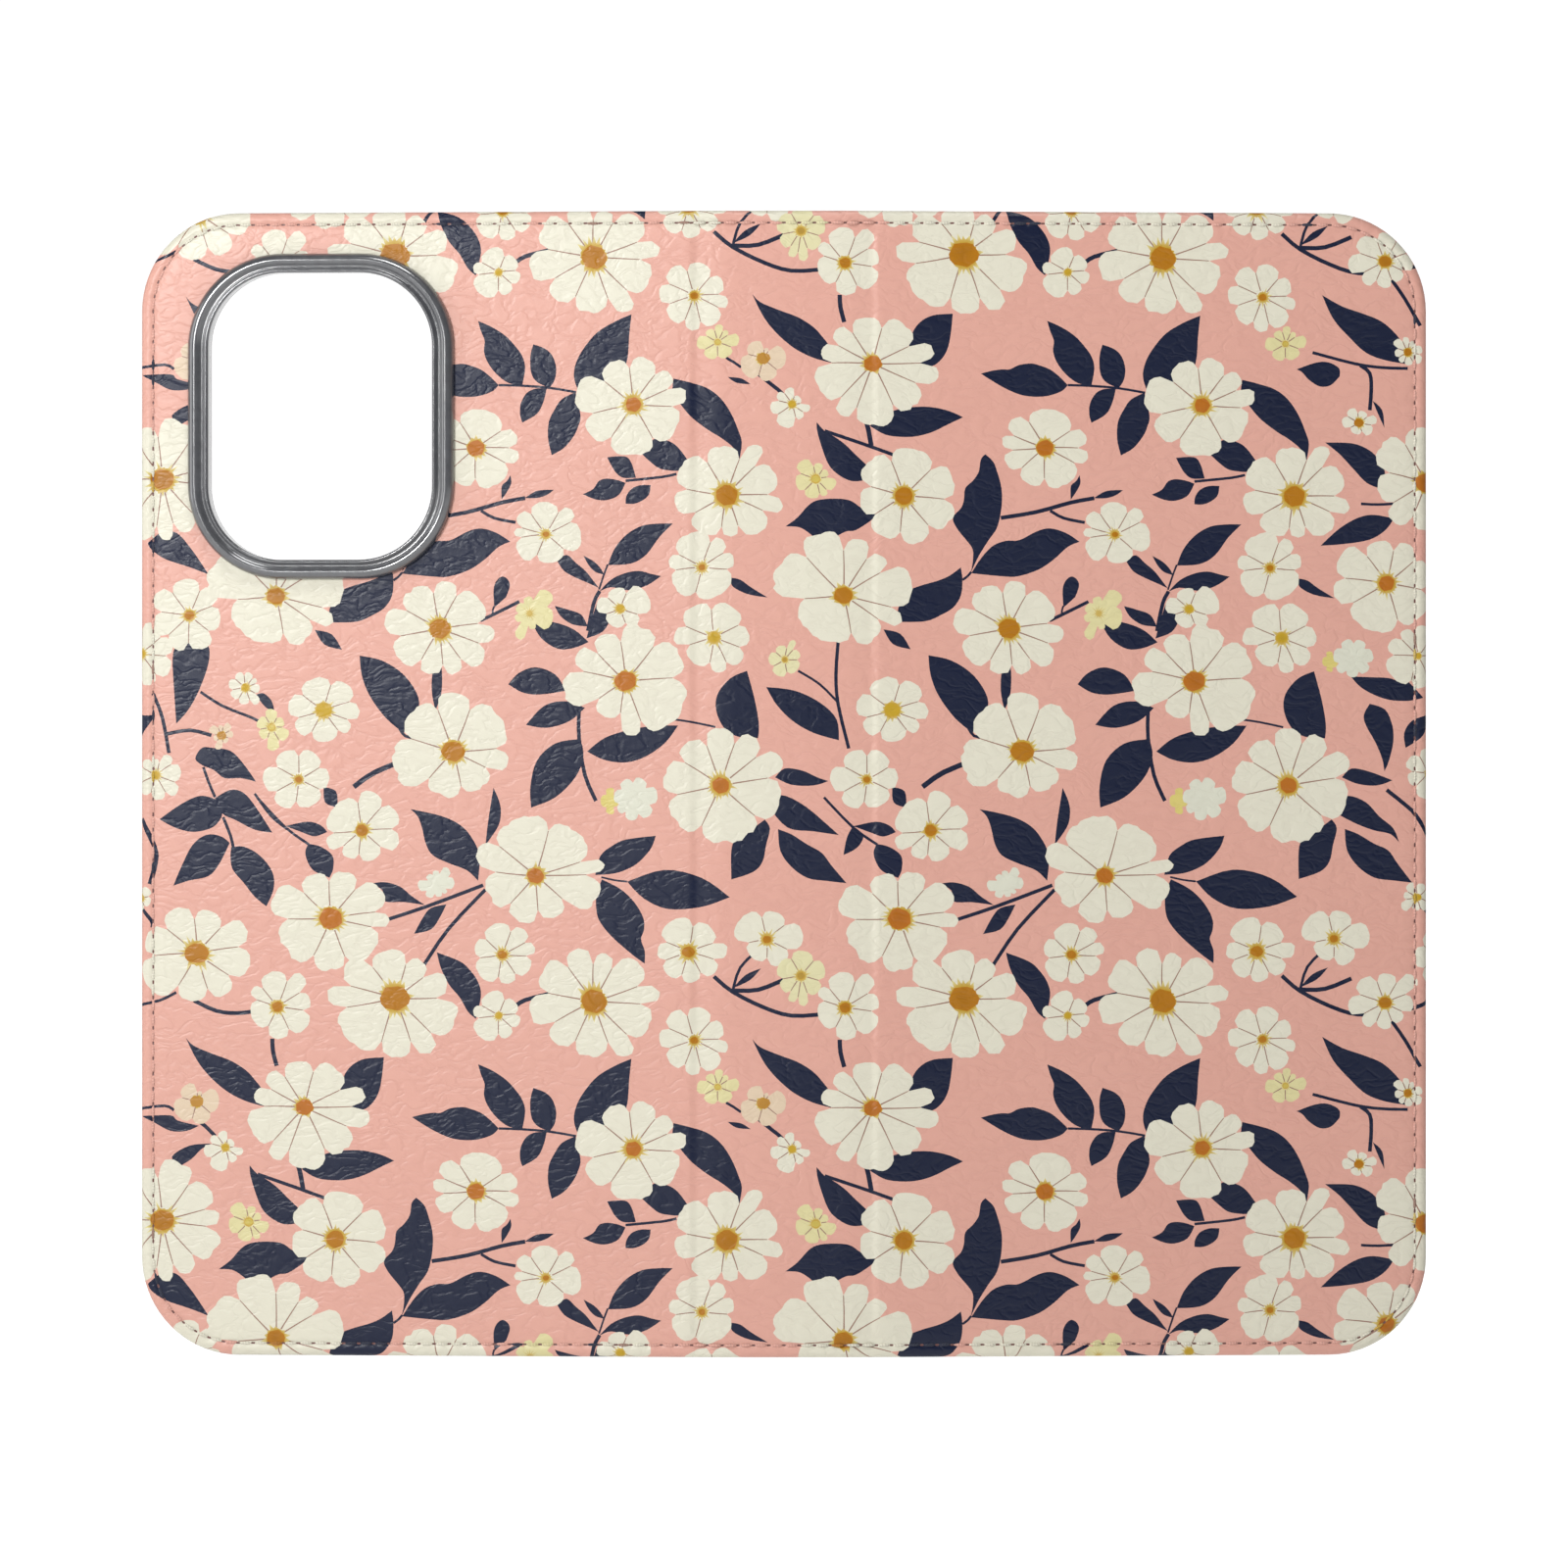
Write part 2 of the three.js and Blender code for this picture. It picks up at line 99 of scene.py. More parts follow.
# Flowers: x, y, kind, core radius, halo radius, then for each petal the angle where it starts
# (anticlockwise) and how far its tip reaches.
FLOWERS = [
    (10.8, 67.3, "ochre", 1.45, 2.2,
     [1, 7.1, 46, 8, 71, 6.7, 120, 7.3, 171, 7, 209, 6.2, 261, 5.6, 290, 6.8, 337, 7.7]),
    (5.7, 5.6, "ochre", 0.8, 1.6, [-60, 4.5, -16, 5.2, 20, 4.5, 80, 4.8, 156, 4.2, 200, 4.2, 254, 4.2]),
    (16.2, 7.3, "ochre", 0.55, 1.4, [-90, 3.9, -26, 4.9, 39, 3.9, 103, 4.6, 190, 3.2]),
    (20.8, 2.4, "pale", 0.5, 1.1, [-98, 4.1, -70, 3.2, -15, 3.4, 50, 3.4, 120, 3.4, 190, 3.2, 236, 3.8]),
    (26.7, -1.9, "ochre", 0.75, 1.3, [-63, 4.9, -8, 4.6, 32, 5.5, 69, 4.8, 129, 4.2, 162, 3.8, 245, 4.4]),
    (10.0, 28.1, "orange", 1.15, 2.0, [-115, 7.9, -42, 8.3, 9, 9.0, 39, 7.9, 72, 7.8, 109, 7.4, 147, 7.7, 192, 7.8]),
    (34.0, 10.1, "orange", 1.5, 2.1, [-115, 7.2, -70, 7.3, -12, 7.9, 8, 7.9, 50, 6.6, 93, 6.5, 137, 8.5, 181, 7.6]),
    (38.2, 22.0, "ochre", 0.85, 1.3, [-97, 4.3, -41, 5.3, 3, 5.4, 50, 5.5, 98, 5.0, 185, 5.1, 220, 4.2]),
    (42.7, -0.7, "ochre", 1.8, 2.4,
     [-107, 8.1, -70, 8.8, -44, 8.9, 0, 7.4, 36, 6.2, 72, 6.6, 126, 8.1, 165, 9.2, 191, 8.6]),
    (57.3, 5.2, "ochre", 0.6, 1.2, [-100, 4.0, -56, 4.2, -3, 4.5, 28, 4.5, 70, 4.3, 137, 3.9, 188, 4.2]),
    (61.8, 15.9, "orange", 1.1, 1.6, [-132, 6.6, -86, 6.2, -41, 9.0, 1, 9.4, 17, 8.2, 74, 8.2, 141, 8.6, 175, 7.0]),
    (69.7, -1.1, "ochre", 1.7, 2.3,
     [-115, 7.6, -71, 8.7, -45, 8.2, -3, 9.0, 19, 8.1, 61, 6.6, 91, 7.5, 127, 8.2, 170, 9.0, 208, 7.7]),
    (9.1, 48.1, "yellow", 0.7, 1.3, [-99, 4.8, -64, 4.8, -21, 4.7, 27, 4.9, 95, 5.2, 158, 5.4, 197, 4.4]),
    (18.6, 45.1, "pale", 0.3, 0.7, [0, 2.2, 50, 2.9, 80, 2.0, 140, 2.2, 210, 2.4, 280, 2.2]),
    (33.0, 38.3, "yellow", 0.95, 1.5, [-119, 4.3, -54, 4.4, -21, 4.9, 18, 4.8, 74, 4.6, 144, 4.9, 196, 4.6]),
    (29.6, 28.9, "ochre", 0.45, 1.1, [-97, 4.0, -25, 4.2, 30, 4.2, 90, 4.3, 150, 4.9, 208, 4.4]),
    (50.6, 32.7, "ochre", 1.45, 2.0, [-132, 6.3, -77, 6.4, -26, 7.7, 4, 8.0, 68, 8.1, 110, 7.8, 163, 8.4]),
    (48.8, 49.3, "ochre", 1.4, 1.9,
     [-85, 6.4, -55, 7.3, -20, 7.4, 8, 6.8, 63, 6.5, 100, 6.7, 151, 7.6, 190, 7, 239, 6.3]),
    (74.0, 42.2, "orange", 1.4, 1.8, [-147, 5.6, -99, 7.5, -69, 8.6, 4, 8.3, 51, 7.8, 97, 7.0, 135, 7.6, 167, 8.5]),
    (73.3, 52.0, "yellow", 0.5, 0.95, [-70, 3.1, -18, 4.2, 69, 2.9, 139, 3.3, 200, 2.6]),
    (61.0, 51.4, "straw", 0.0, 1.2, [20, 4.0, 75, 2.3, 120, 2.0, 180, 2.1, 225, 3.8, 265, 2.2, 300, 3.3]),
    (7.5, 57.6, "ochre", 0.45, 1.2, [-5, 4.4, 34, 4.6, 71, 4.9, 151, 4.5, 186, 4.6, 256, 4.5]),
    (26.5, 53.8, "ochre", 1.15, 1.7, [-79, 7.3, -35, 8.5, -14, 9.4, 32, 7.5, 58, 7.9, 90, 9.2, 134, 9.8, 185, 6.8]),
    (34.6, 67.2, "ochre", 1.25, 1.9, [-4, 7.1, 45, 6.6, 110, 6.7, 164, 6.0, 212, 6.3, 264, 6.6, 310, 7.3]),
    (53.7, 73.8, "orange", 1.15, 1.5, [-91, 5.8, -27, 6, 0, 5.8, 34, 5.3, 122, 5.9, 159, 5.9, 184, 5.7, 221, 5.4]),
    (63.2, 62.1, "ochre", 0.4, 1.15, [-40, 4.9, 26, 4.8, 60, 4.4, 126, 4.5, 165, 4.3, 187, 4.6, 247, 4.0]),
    (22.8, 69.5, "straw", 0.5, 0.95, [-75, 2.6, -45, 2.8, 10, 1.9, 55, 2.2, 100, 3.2, 160, 2.8, 225, 2.7]),
    (9.6, 88.0, "straw", 0.3, 0.7, [-20, 2.9, 35, 2.0, 65, 2.4, 105, 2.1, 150, 2.8, 210, 2.5, 270, 2.4]),
    (15.7, 85.8, "peach", 0.85, 0.9, [55, 1.5, 85, 2.7, 165, 3.3, 255, 3.1, 320, 3.1]),
    (19.6, 79.6, "yellow", 0.45, 0.8, [-35, 2.5, 5, 1.4, 75, 2.3, 125, 2.4, 165, 3.0, 215, 3.3, 285, 2.3]),
    (6.5, 94.3, "ochre", 0.5, 1.15, [-77, 4.7, -27, 4.6, 3, 4.2, 50, 4.5, 106, 4.8, 155, 4.8, 198, 4.5, 249, 4.7]),
    (56.8, 97.6, "yellow", 0.4, 0.8, [-91, 3.2, -42, 3.0, 5, 2.9, 69, 3.4, 150, 3.5, 187, 3.9]),
    (30.4, 85.1, "orange", 1.1, 1.5,
     [1, 8.4, 26, 6.9, 76, 6.4, 123, 6.7, 152, 7.1, 179, 8, 227, 8.2, 250, 8.5, 296, 8.1, 336, 9.0]),
    (75.05, 79.6, "orange", 1.05, 1.9, [-3, 7.3, 24, 6.5, 54, 6.5, 96, 6.5, 141, 8.0, 192, 7.2, 236, 7, 300, 6.8]),
    (48.4, 14.8, "bud", 0.0, 0.0, [-30, 2.4, 30, 2.6, 75, 1.8, 115, 1.7, 160, 2.6, 215, 2.2, 260, 1.8, 300, 1.8]),
    (71.9, 26.0, "lemon", 0.0, 0.0, [-120, 1.8, -60, 1.2, 60, 1.8, 120, 1.3]),
    (75.0, 26.3, "bud", 0.0, 0.0, [-20, 3.4, 40, 3.0, 90, 2.8, 140, 2.6, 200, 2.6, 240, 2.9, 290, 3.2]),
]

# Leaves: one tip, the points along one side, the other tip, and the points along the way back.
LEAVES = [
    ((-2.6, 15.1), [(2.5, 16.7), (7.5, 15.6)], (11.2, 13.0), [(7.5, 11.7), (3, 11.4), (-0.3, 12.8)]),
    ((69.9, 16), [(70.6, 18.6), (72.3, 20), (74.1, 20.8)], (78.1, 21.3),
     [(77.5, 19.7), (76.2, 18.1), (74.7, 17), (72.5, 16.2)]),
    ((15.9, 23.5), [(16.6, 22.3), (16.1, 20.1), (15.6, 17.8), (14.3, 16.4)], (11.4, 15.4),
     [(11.4, 19.3), (12, 20.8), (13.6, 21.8)]),
    ((16.4, 25.2), [(18.1, 26.8), (21.5, 25.2)], (25.9, 21.4), [(22.5, 21.9), (19, 22.4)]),
    ((17.7, 22.2), [(19.5, 21.5), (21.7, 20.1), (23.6, 19), (24.9, 17.3)], (26.9, 14.9),
     [(24.3, 15.2), (21.7, 15.6), (19.5, 17.1), (18, 19.3)]),
    ((11.6, 0.7), [(13.3, 2.5)], (15.4, 3.4), [(13.9, 1.8)]),
    ((27.8, 22.6), [(30.8, 23.2), (32.6, 22.7)], (33.5, 21.8), [(31.8, 21.2), (30.2, 21.7)]),
    ((27.6, 22.4), [(29.1, 21.5), (28.8, 20.3), (27.9, 19.4)], (26.5, 18.7), [(26.9, 20.9)]),
    ((30.9, 20.2), [(32.6, 19.8), (34.2, 18.6), (34.3, 16.8)], (33.8, 15.6),
     [(31.7, 16.5), (30.8, 17.8), (30.5, 19.1)]),
    ((46.8, 11.9), [(45, 13.1), (43.4, 14.4), (41.3, 15)], (39.4, 14.8), [(41, 13.9), (41.3, 12.4), (43.9, 12.3)]),
    ((49.7, 12), [(47.6, 11.5), (46.5, 10.2)], (45.3, 8), [(47.6, 8.6), (48.8, 10.2)]),
    ((54, 15.2), [(54.2, 18.6), (53.1, 21.1), (51.5, 22.8), (48.9, 24)], (44.8, 24.9),
     [(45.8, 23.9), (46.4, 22.3), (46.9, 20.2), (47.9, 18.6), (50.2, 17.5), (52.5, 16.6)]),
    ((48.4, 5.5), [(51.5, 4.3), (52.9, 3.1), (54, 1.5), (54.4, -0.4)], (53.7, -3.5),
     [(52.6, -2.5), (51.5, -0.6), (50, 1.2), (48.9, 3.5)]),
    ((56.1, 27.8), [(56.9, 25.9), (57.1, 24.3), (56.7, 22.5)], (55, 20), [(55.4, 23.5)]),
    ((70.8, 15.4), [(73.3, 14.1), (75.2, 12.3), (76.4, 10.2), (76.5, 8.6), (76.1, 7.3), (76.6, 5.7)], (76.6, 4),
     [(74.7, 5.4), (72, 7.8), (70.4, 9.9), (70, 11.8), (70.1, 13.6)]),
    ((13.5, 43.6), [(14.5, 39.9), (15.1, 36.5)], (15, 34.5),
     [(12.3, 34.7), (10.5, 35.8), (9.4, 38.2), (9.6, 40.5), (11.3, 42.6)]),
    ((25.9, 34.2), [(25.6, 37), (23.5, 39.2), (20, 40.9)], (16.1, 41.4), [(17.5, 39), (19.7, 36.8), (22.5, 35.2)]),
    ((-8, 32.7), [(-5.5, 34.6), (-1.5, 35.8), (2, 36.2)], (4.3, 36.2),
     [(2.5, 33.8), (-0.3, 31.9), (-3, 31.2), (-5.8, 31.6)]),
    ((17.3, 29.2), [(18.6, 30.4), (21, 30.1), (23, 29.2)], (24.5, 28.7), [(22.5, 28.1), (19.5, 28.2)]),
    ((31.8, 49.2), [(34.1, 48.6)], (35.5, 46.5), [(33.1, 47.2)]),
    ((42.3, 57.6), [(42.5, 55.9), (42.3, 53.8), (41.3, 52.2), (39.7, 51.2), (37.5, 50.3)], (34, 50.2),
     [(33.8, 52), (35.2, 54.3), (36.8, 55.1), (39.2, 55.8), (40.8, 56.5)]),
    ((43.9, 35.2), [(45.6, 37.5), (45.9, 40), (44, 43), (41, 45)], (37.9, 45.7),
     [(38.2, 43), (39.3, 40.2), (41.5, 37.2)]),
    ((48.2, 38.2), [(47.7, 41), (47.9, 44)], (48.7, 46.2), [(49.1, 43.5), (49, 40.5)]),
    ((33, 27.9), [(34.7, 27.3)], (34.9, 25.1), [(33.2, 25.8)]),
    ((65.9, 40.9), [(64.5, 43.1), (61.8, 44.1), (59.5, 43.3)], (58.1, 41.8), [(60, 40.7), (62.3, 40.4)]),
    ((68.5, 38.6), [(66, 39.5), (63, 38.9)], (60.5, 36.3), [(63.3, 35.9), (66.4, 36.8)]),
    ((67.9, 34.4), [(68.3, 32), (67.2, 29.2), (64.5, 26.5)], (61.2, 25.1), [(61.1, 28), (62, 31.5), (64.5, 33.8)]),
    ((69, 47.5), [(67, 49.2), (64.2, 50.2)], (61.2, 50.3), [(62.6, 48), (64.8, 46.6), (67, 46.7)]),
    ((68.9, 49.6), [(68, 51.2), (66.2, 51.9)], (64.4, 52.4), [(65.2, 51), (66.8, 49.9)]),
    ((68.7, 48), [(70.9, 48.9), (71.9, 50.7), (71.3, 52)], (70.3, 53.2), [(69.6, 51.2)]),
    ((-0.8, 73.1), [(1, 74.9), (2.9, 74.7), (4.3, 73.8)], (5.8, 71.8),
     [(4.6, 70.7), (3, 70.7), (1.7, 71), (0.5, 71.9)]),
    ((74, 66.2), [(74.1, 67.2), (74.8, 68.2), (76, 68.7)], (77.4, 68.7), [(77.2, 67.5), (76.4, 66.7), (75.2, 66.2)]),
    ((71.6, 57.9), [(72.5, 60.1), (74.1, 62), (76.2, 63.2), (78.5, 63.5)], (80.4, 63.5),
     [(78.6, 61.7), (76.8, 59.3), (74.7, 58.1)]),
    ((70.4, 54.3), [(72, 55.9), (73.9, 56.8), (75.8, 57.1), (77.5, 56.7)], (78.8, 56.4),
     [(76.8, 55.1), (74.4, 54.5), (72, 54.9)]),
    ((11.2, 56.2), [(12.6, 55.9), (14, 54.9)], (16.3, 53.5), [(14.2, 53.8), (12.7, 54.3), (11.5, 55.1)]),
    ((18.7, 63.1), [(20.3, 64.3), (22.1, 66.2), (24, 66.8), (27.1, 66.7), (28.9, 65.6), (30.8, 64.9)], (32.8, 66.2),
     [(31.7, 65.3), (30, 63.8), (28.1, 62.6), (26.8, 62.4), (25, 61.5), (23.3, 61.1), (21.9, 62.2), (20.5, 63)]),
    ((22.9, 77.2), [(24, 76), (25.5, 75.1), (26.8, 74.1), (28.1, 72.8)], (29.7, 71.3),
     [(29.6, 69.6), (28.1, 69.2), (26.8, 69.5), (25.3, 70.5), (24.4, 71.7), (23.6, 73.8), (23, 75.9)]),
    ((3.7, 83.1), [(5.8, 82.6), (8.2, 81.8), (10, 80.4), (11.4, 78.3), (12.4, 75.9), (12.8, 74.4)], (12.5, 72.2),
     [(11.6, 73.8), (10, 75.1), (8.4, 76.1), (6.3, 77.7), (4.8, 79.4), (3.6, 81.2)]),
    ((45.6, 72.9), [(46.6, 72), (47.1, 70.9), (47.8, 68.3), (47.8, 65.7), (47.2, 63), (46, 61.2), (44.7, 59.1)],
     (43.6, 56.8),
     [(43.9, 58.3), (43.9, 60), (43.1, 61.2), (41.8, 62.8), (41.2, 64.3), (42.3, 65.6), (42.7, 66.7), (42.9, 68.3),
      (43.9, 69.3), (44.7, 70.5), (45, 72.2)]),
    ((43.7, 56.8), [(45, 58.8), (46.6, 60.5), (48.4, 61.2), (50.2, 61.3), (52.6, 62.5), (54.4, 62.9), (56.5, 62.3)],
     (58.4, 61.1), [(56.8, 60.4), (54.9, 58.7), (52.8, 57.3), (50, 56.4), (47.9, 56.4)]),
    ((67.2, 81.3), [(67.9, 78.2), (67.6, 76.7), (67, 75.4), (65.7, 73.8)], (64, 72.8),
     [(63.5, 75), (63.6, 77.3), (64.4, 79), (65.4, 80.4)]),
    ((57.2, 66.8), [(57.2, 68.6), (57.9, 69.3)], (58.4, 70.1), [(58.5, 69), (57.9, 67.8)]),
    ((60.3, 67), [(61.8, 67.9), (63.1, 68.1)], (64.3, 68.1), [(63.3, 67.4), (62, 67)]),
    ((68.2, 67.5), [(69.6, 68.2), (70.4, 69.3), (71.5, 69.6), (72.9, 69.4)], (74, 69),
     [(73.1, 67.4), (71.5, 66.7), (69.9, 66.8)]),
    ((71.5, 72.5), [(73.9, 72.6), (74.8, 71.7)], (75.4, 69.7), [(73.7, 69.7), (72.7, 70.4), (72, 71.5)]),
    ((64.7, 58.5), [(66, 59.3), (67.3, 58.2), (68.6, 57.1), (69.7, 55.7)], (70.4, 54.8),
     [(68.9, 55.5), (67.3, 56.2), (65.7, 57.1)]),
    ((68.3, 59.2), [(69.7, 58.4), (70.6, 57.5)], (71.1, 56.6), [(69.9, 57), (69, 57.9)]),
    ((56.2, 52.2), [(56.1, 54.6), (56.5, 55.8), (57.3, 56.4), (58.1, 55.9), (58.3, 55)], (57.8, 53.6),
     [(56.8, 52.7)]),
    ((54, 91), [(56, 90.1), (57.8, 88.9), (59.1, 87.5), (60, 86.2), (60.4, 84.6)], (60, 82.2),
     [(58.1, 82.6), (56.5, 83.8), (55.3, 85.4), (54.8, 86.9), (54.9, 88.3), (54.4, 89.6)]),
    ((61.5, 87.8), [(63.1, 87.2), (64.1, 86.2), (64.6, 84.6), (64.4, 83)], (63.7, 81.9),
     [(62, 82.7), (61.2, 84), (61.1, 86.2)]),
    ((63.3, 81.8), [(62.9, 80.1), (62, 78.4)], (60, 77.2), [(59.7, 78.3), (59.8, 79.8), (60.6, 81.2), (61.8, 81.8)]),
    ((45, 83.8), [(46.5, 84.2), (47.9, 84.4), (48.9, 84.4), (50.2, 85), (51.8, 85.2), (52.8, 85), (54.4, 84.4),
     (55.7, 83.4)],
     (56.8, 82.3), [(56, 81.5), (54.4, 80.9), (52.8, 80.7), (51.2, 80.8), (49.7, 81.2), (47.6, 82.2)]),
    ((74.8, 91.8), [(74.5, 89), (74.2, 85.5), (73, 83), (70.5, 81.5)], (67.7, 81.4),
     [(67.2, 82.5), (67, 84), (67.5, 85.8), (68.6, 87.6), (70.2, 89.4), (72.5, 90.8)]),
    ((41.2, 91.9), [(41, 89.8), (40.6, 87.5), (39.8, 85.9), (38.4, 84.8)], (36.3, 84.9),
     [(35.3, 86.5), (35.4, 88.2), (36, 89.8), (37.1, 91), (38.7, 91.7)]),
    ((42.6, 77.9), [(40.8, 78.7), (38.7, 79.2), (36.6, 79.3), (34, 79), (31.5, 78)], (30, 76.7),
     [(32.1, 75.5), (34.7, 75.2), (36.8, 75.4), (38.7, 76), (40.5, 76.9)]),
    ((14.2, 94.5), [(15.3, 93.4), (17.9, 92.3), (20.3, 91.4), (22.4, 90.1), (23.7, 88.7), (24.6, 87.4)], (24.9, 85.2),
     [(22.4, 85.9), (20, 87.1), (17.9, 88.8), (16.3, 90.6), (15.3, 92.2)]),
    ((10.9, 83.3), [(12.7, 83.1)], (14, 82.3), [(12.1, 82.5)]),
]

# Stems: the points of the stroke, then its width.
STEMS = [
    ([(9.1, 2.3), (11.6, 0.2), (15.8, -1.9), (19.5, -3), (23.8, -2.8)], 0.42),
    ([(11.6, 0.4), (12.6, 3.5), (15.2, 6.1)], 0.3),
    ([(11.7, 0.4), (15, 0.5), (18.6, 1.9)], 0.45),
    ([(23.9, 26.5), (27.8, 22.4), (31, 20.1)], 0.28),
    ([(41.6, 9.9), (47, 11.7), (54.7, 14.6)], 0.38),
    ([(46.6, 3.7), (50, 8.7), (55, 14)], 0.38),
    ([(70.7, 15.7), (72.5, 15.3), (74.2, 15.1)], 0.2),
    ([(20.4, 43.6), (23.3, 41.8), (25.7, 39.4)], 0.25),
    ([(25.8, 47.7), (25.5, 43), (25.8, 39), (27.2, 33.1)], 0.35),
    ([(2.4, 37.2), (6, 36.7), (9.3, 36)], 0.22),
    ([(43.2, 36.1), (44.1, 34.8), (46, 34.5)], 0.3),
    ([(67.7, 38.5), (67.7, 34.5), (68.5, 29.5), (70, 26)], 0.4),
    ([(54.3, 50.4), (56.8, 51.6), (59.6, 53)], 0.35),
    ([(68.9, 49), (69.7, 52.8), (70.5, 54.4)], 0.4),
    ([(-2.8, 69.3), (2.1, 69.8), (4.1, 70.2)], 0.28),
    ([(24, 76), (28.1, 74.6), (30.1, 73.9), (33.4, 72.7)], 0.36),
    ([(29.4, 77.7), (29.8, 76.2), (30.2, 74)], 0.5),
    ([(42.5, 55.9), (43.2, 56.4), (43.7, 57)], 0.25),
    ([(47.7, 64.3), (52.5, 65.1), (57.2, 66.4), (60.4, 67)], 0.42),
    ([(54.4, 65.3), (56.2, 64.3), (59.1, 63.7)], 0.32),
    ([(71.6, 58), (71.1, 56.7), (70.4, 54.6)], 0.2),
    ([(56.2, 52.4), (56, 51.8), (56, 51.2)], 0.2),
    ([(14.9, 83.8), (16.9, 82.2), (17.9, 81.4), (18.7, 80.5)], 0.4),
    ([(10.7, 85.9), (11.7, 85.3), (12.7, 84.6)], 0.28),
    ([(26, 94.4), (26.1, 92.7), (26.6, 90.7)], 0.45),
    ([(59, 98.8), (60.4, 99.7), (63.9, 100.6)], 0.45),
    ([(56.8, 82.3), (60, 82.2), (63.7, 81.9), (67.3, 81.3)], 0.25),
    ([(37.1, 27.9), (40, 29.9), (45.5, 32.1)], 0.55),
]

# The two end strips, placed straight on the case: x from the middle of the spine.
END_FLOWERS = [
    (-84.3, 18.2, "ochre", 1.5, 2.2,
     [-130, 8.6, -97, 8.2, -76, 7.9, -48, 8.4, -7, 7.8, 15, 7.8, 54, 8.5, 96, 7.6, 125, 7.5, 180, 7.5]),
    (-79.6, 34.4, "peach", 0.85, 0.9, [55, 1.5, 85, 2.7, 165, 3.3, 255, 3.1, 320, 3.1]),
    (-80.6, 100.4, "ochre", 0.65, 1.25, [-39, 4.3, 22, 4.7, 67, 5.0, 127, 5.5, 173, 5.0, 223, 5.0, 268, 4.9]),
    (-87.2, 95.2, "yellow", 0.5, 1.0, [-55, 4.6, -5, 4.4, 40, 4.4, 90, 4.2, 150, 4, 210, 4, 265, 4.4]),
    (-73.0, 90.6, "yellow", 0.5, 0.8, [-70, 2.8, -30, 2.0, 20, 1.9, 50, 2.1, 95, 2.2, 140, 2.3, 190, 2.2, 240, 2.3]),
    (-69.4, 85.2, "straw", 0.4, 0.9, [-60, 2.6, 0, 1.9, 60, 2.5, 120, 2.1, 190, 2.0, 250, 3.2]),
    (-76.2, 84.1, "peach", 0.6, 0.6, [30, 1.9, 80, 1.4, 115, 1.9, 175, 1.2, 230, 2.0, 280, 1.2, 340, 1.6]),
    (-85.2, 78.7, "yellow", 0.45, 0.9,
     [-20, 3.5, 35, 3.3, 75, 2.2, 105, 2.6, 150, 3.1, 205, 3.2, 255, 3.4, 300, 3.8]),
    (-79.6, 54.5, "ochre", 1.45, 2.2, [-120, 6.5, -73, 6.8, -34, 7.4, 9, 7.6, 47, 6.1, 94, 6.8, 141, 7.3, 183, 8.1]),
    (-87.4, 62.0, "yellow", 0.5, 0.8, [-60, 1.6, 10, 1.8, 80, 1.7, 150, 1.8, 220, 1.7]),
    (77.9, 25.9, "ochre", 0.6, 0.8, [-70, 2.2, -10, 2.5, 35, 1.7, 95, 2.2, 150, 2.3, 210, 1.6]),
    (87.0, 17.8, "orange", 1.3, 1.8, [-60, 7, 0, 7, 60, 7.6, 118, 7.9, 165, 6.6, 212, 6.9, 250, 6.5]),
    (81.7, 4.1, "orange", 1.1, 1.8, [-73, 6.7, -10, 6.2, 39, 6.1, 78, 5.9, 126, 7.4, 173, 7.4, 210, 6.8]),
    (73.9, 94.1, "lemon", 0.0, 0.0, [-120, 1.4, -60, 1.2, 60, 1.4, 120, 1.0]),
    (77.2, 94.6, "bud", 0.0, 0.0, [-20, 2.7, 40, 2.6, 90, 2.7, 140, 2.8, 200, 2.8, 240, 2.6, 290, 2.6]),
    (86.0, 94.9, "yellow", 0.35, 0.7, [-60, 4.3, 0, 4.2, 50, 4.2, 100, 4.0, 135, 4.3, 178, 4.6, 255, 4.4]),
    (87.5, 79.0, "yellow", 0.4, 0.8, [0, 3.4, 60, 3.4, 120, 3.4, 175, 3.0, 225, 3.6, 290, 3.4]),
    (85.9, 62.1, "yellow", 0.5, 0.7, [-20, 2.1, 40, 2.0, 95, 2.2, 150, 1.9, 190, 2.6, 240, 1.8, 285, 2.2]),
    (89.5, 54.0, "yellow", 0.5, 0.9, [0, 4, 90, 4, 150, 4, 210, 4, 270, 4]),
    (81.5, 47.8, "ochre", 0.8, 1.3, [-70, 3.3, -27, 3.9, 22, 5.5, 60, 4.0, 111, 4.6, 162, 5.1, 207, 4.1, 245, 3.6]),
    (84.6, 35.5, "ochre", 0.55, 0.75, [-60, 2.2, -10, 2.0, 40, 1.7, 80, 2.1, 115, 2.4, 160, 1.8, 210, 1.7, 250, 1.8]),
]
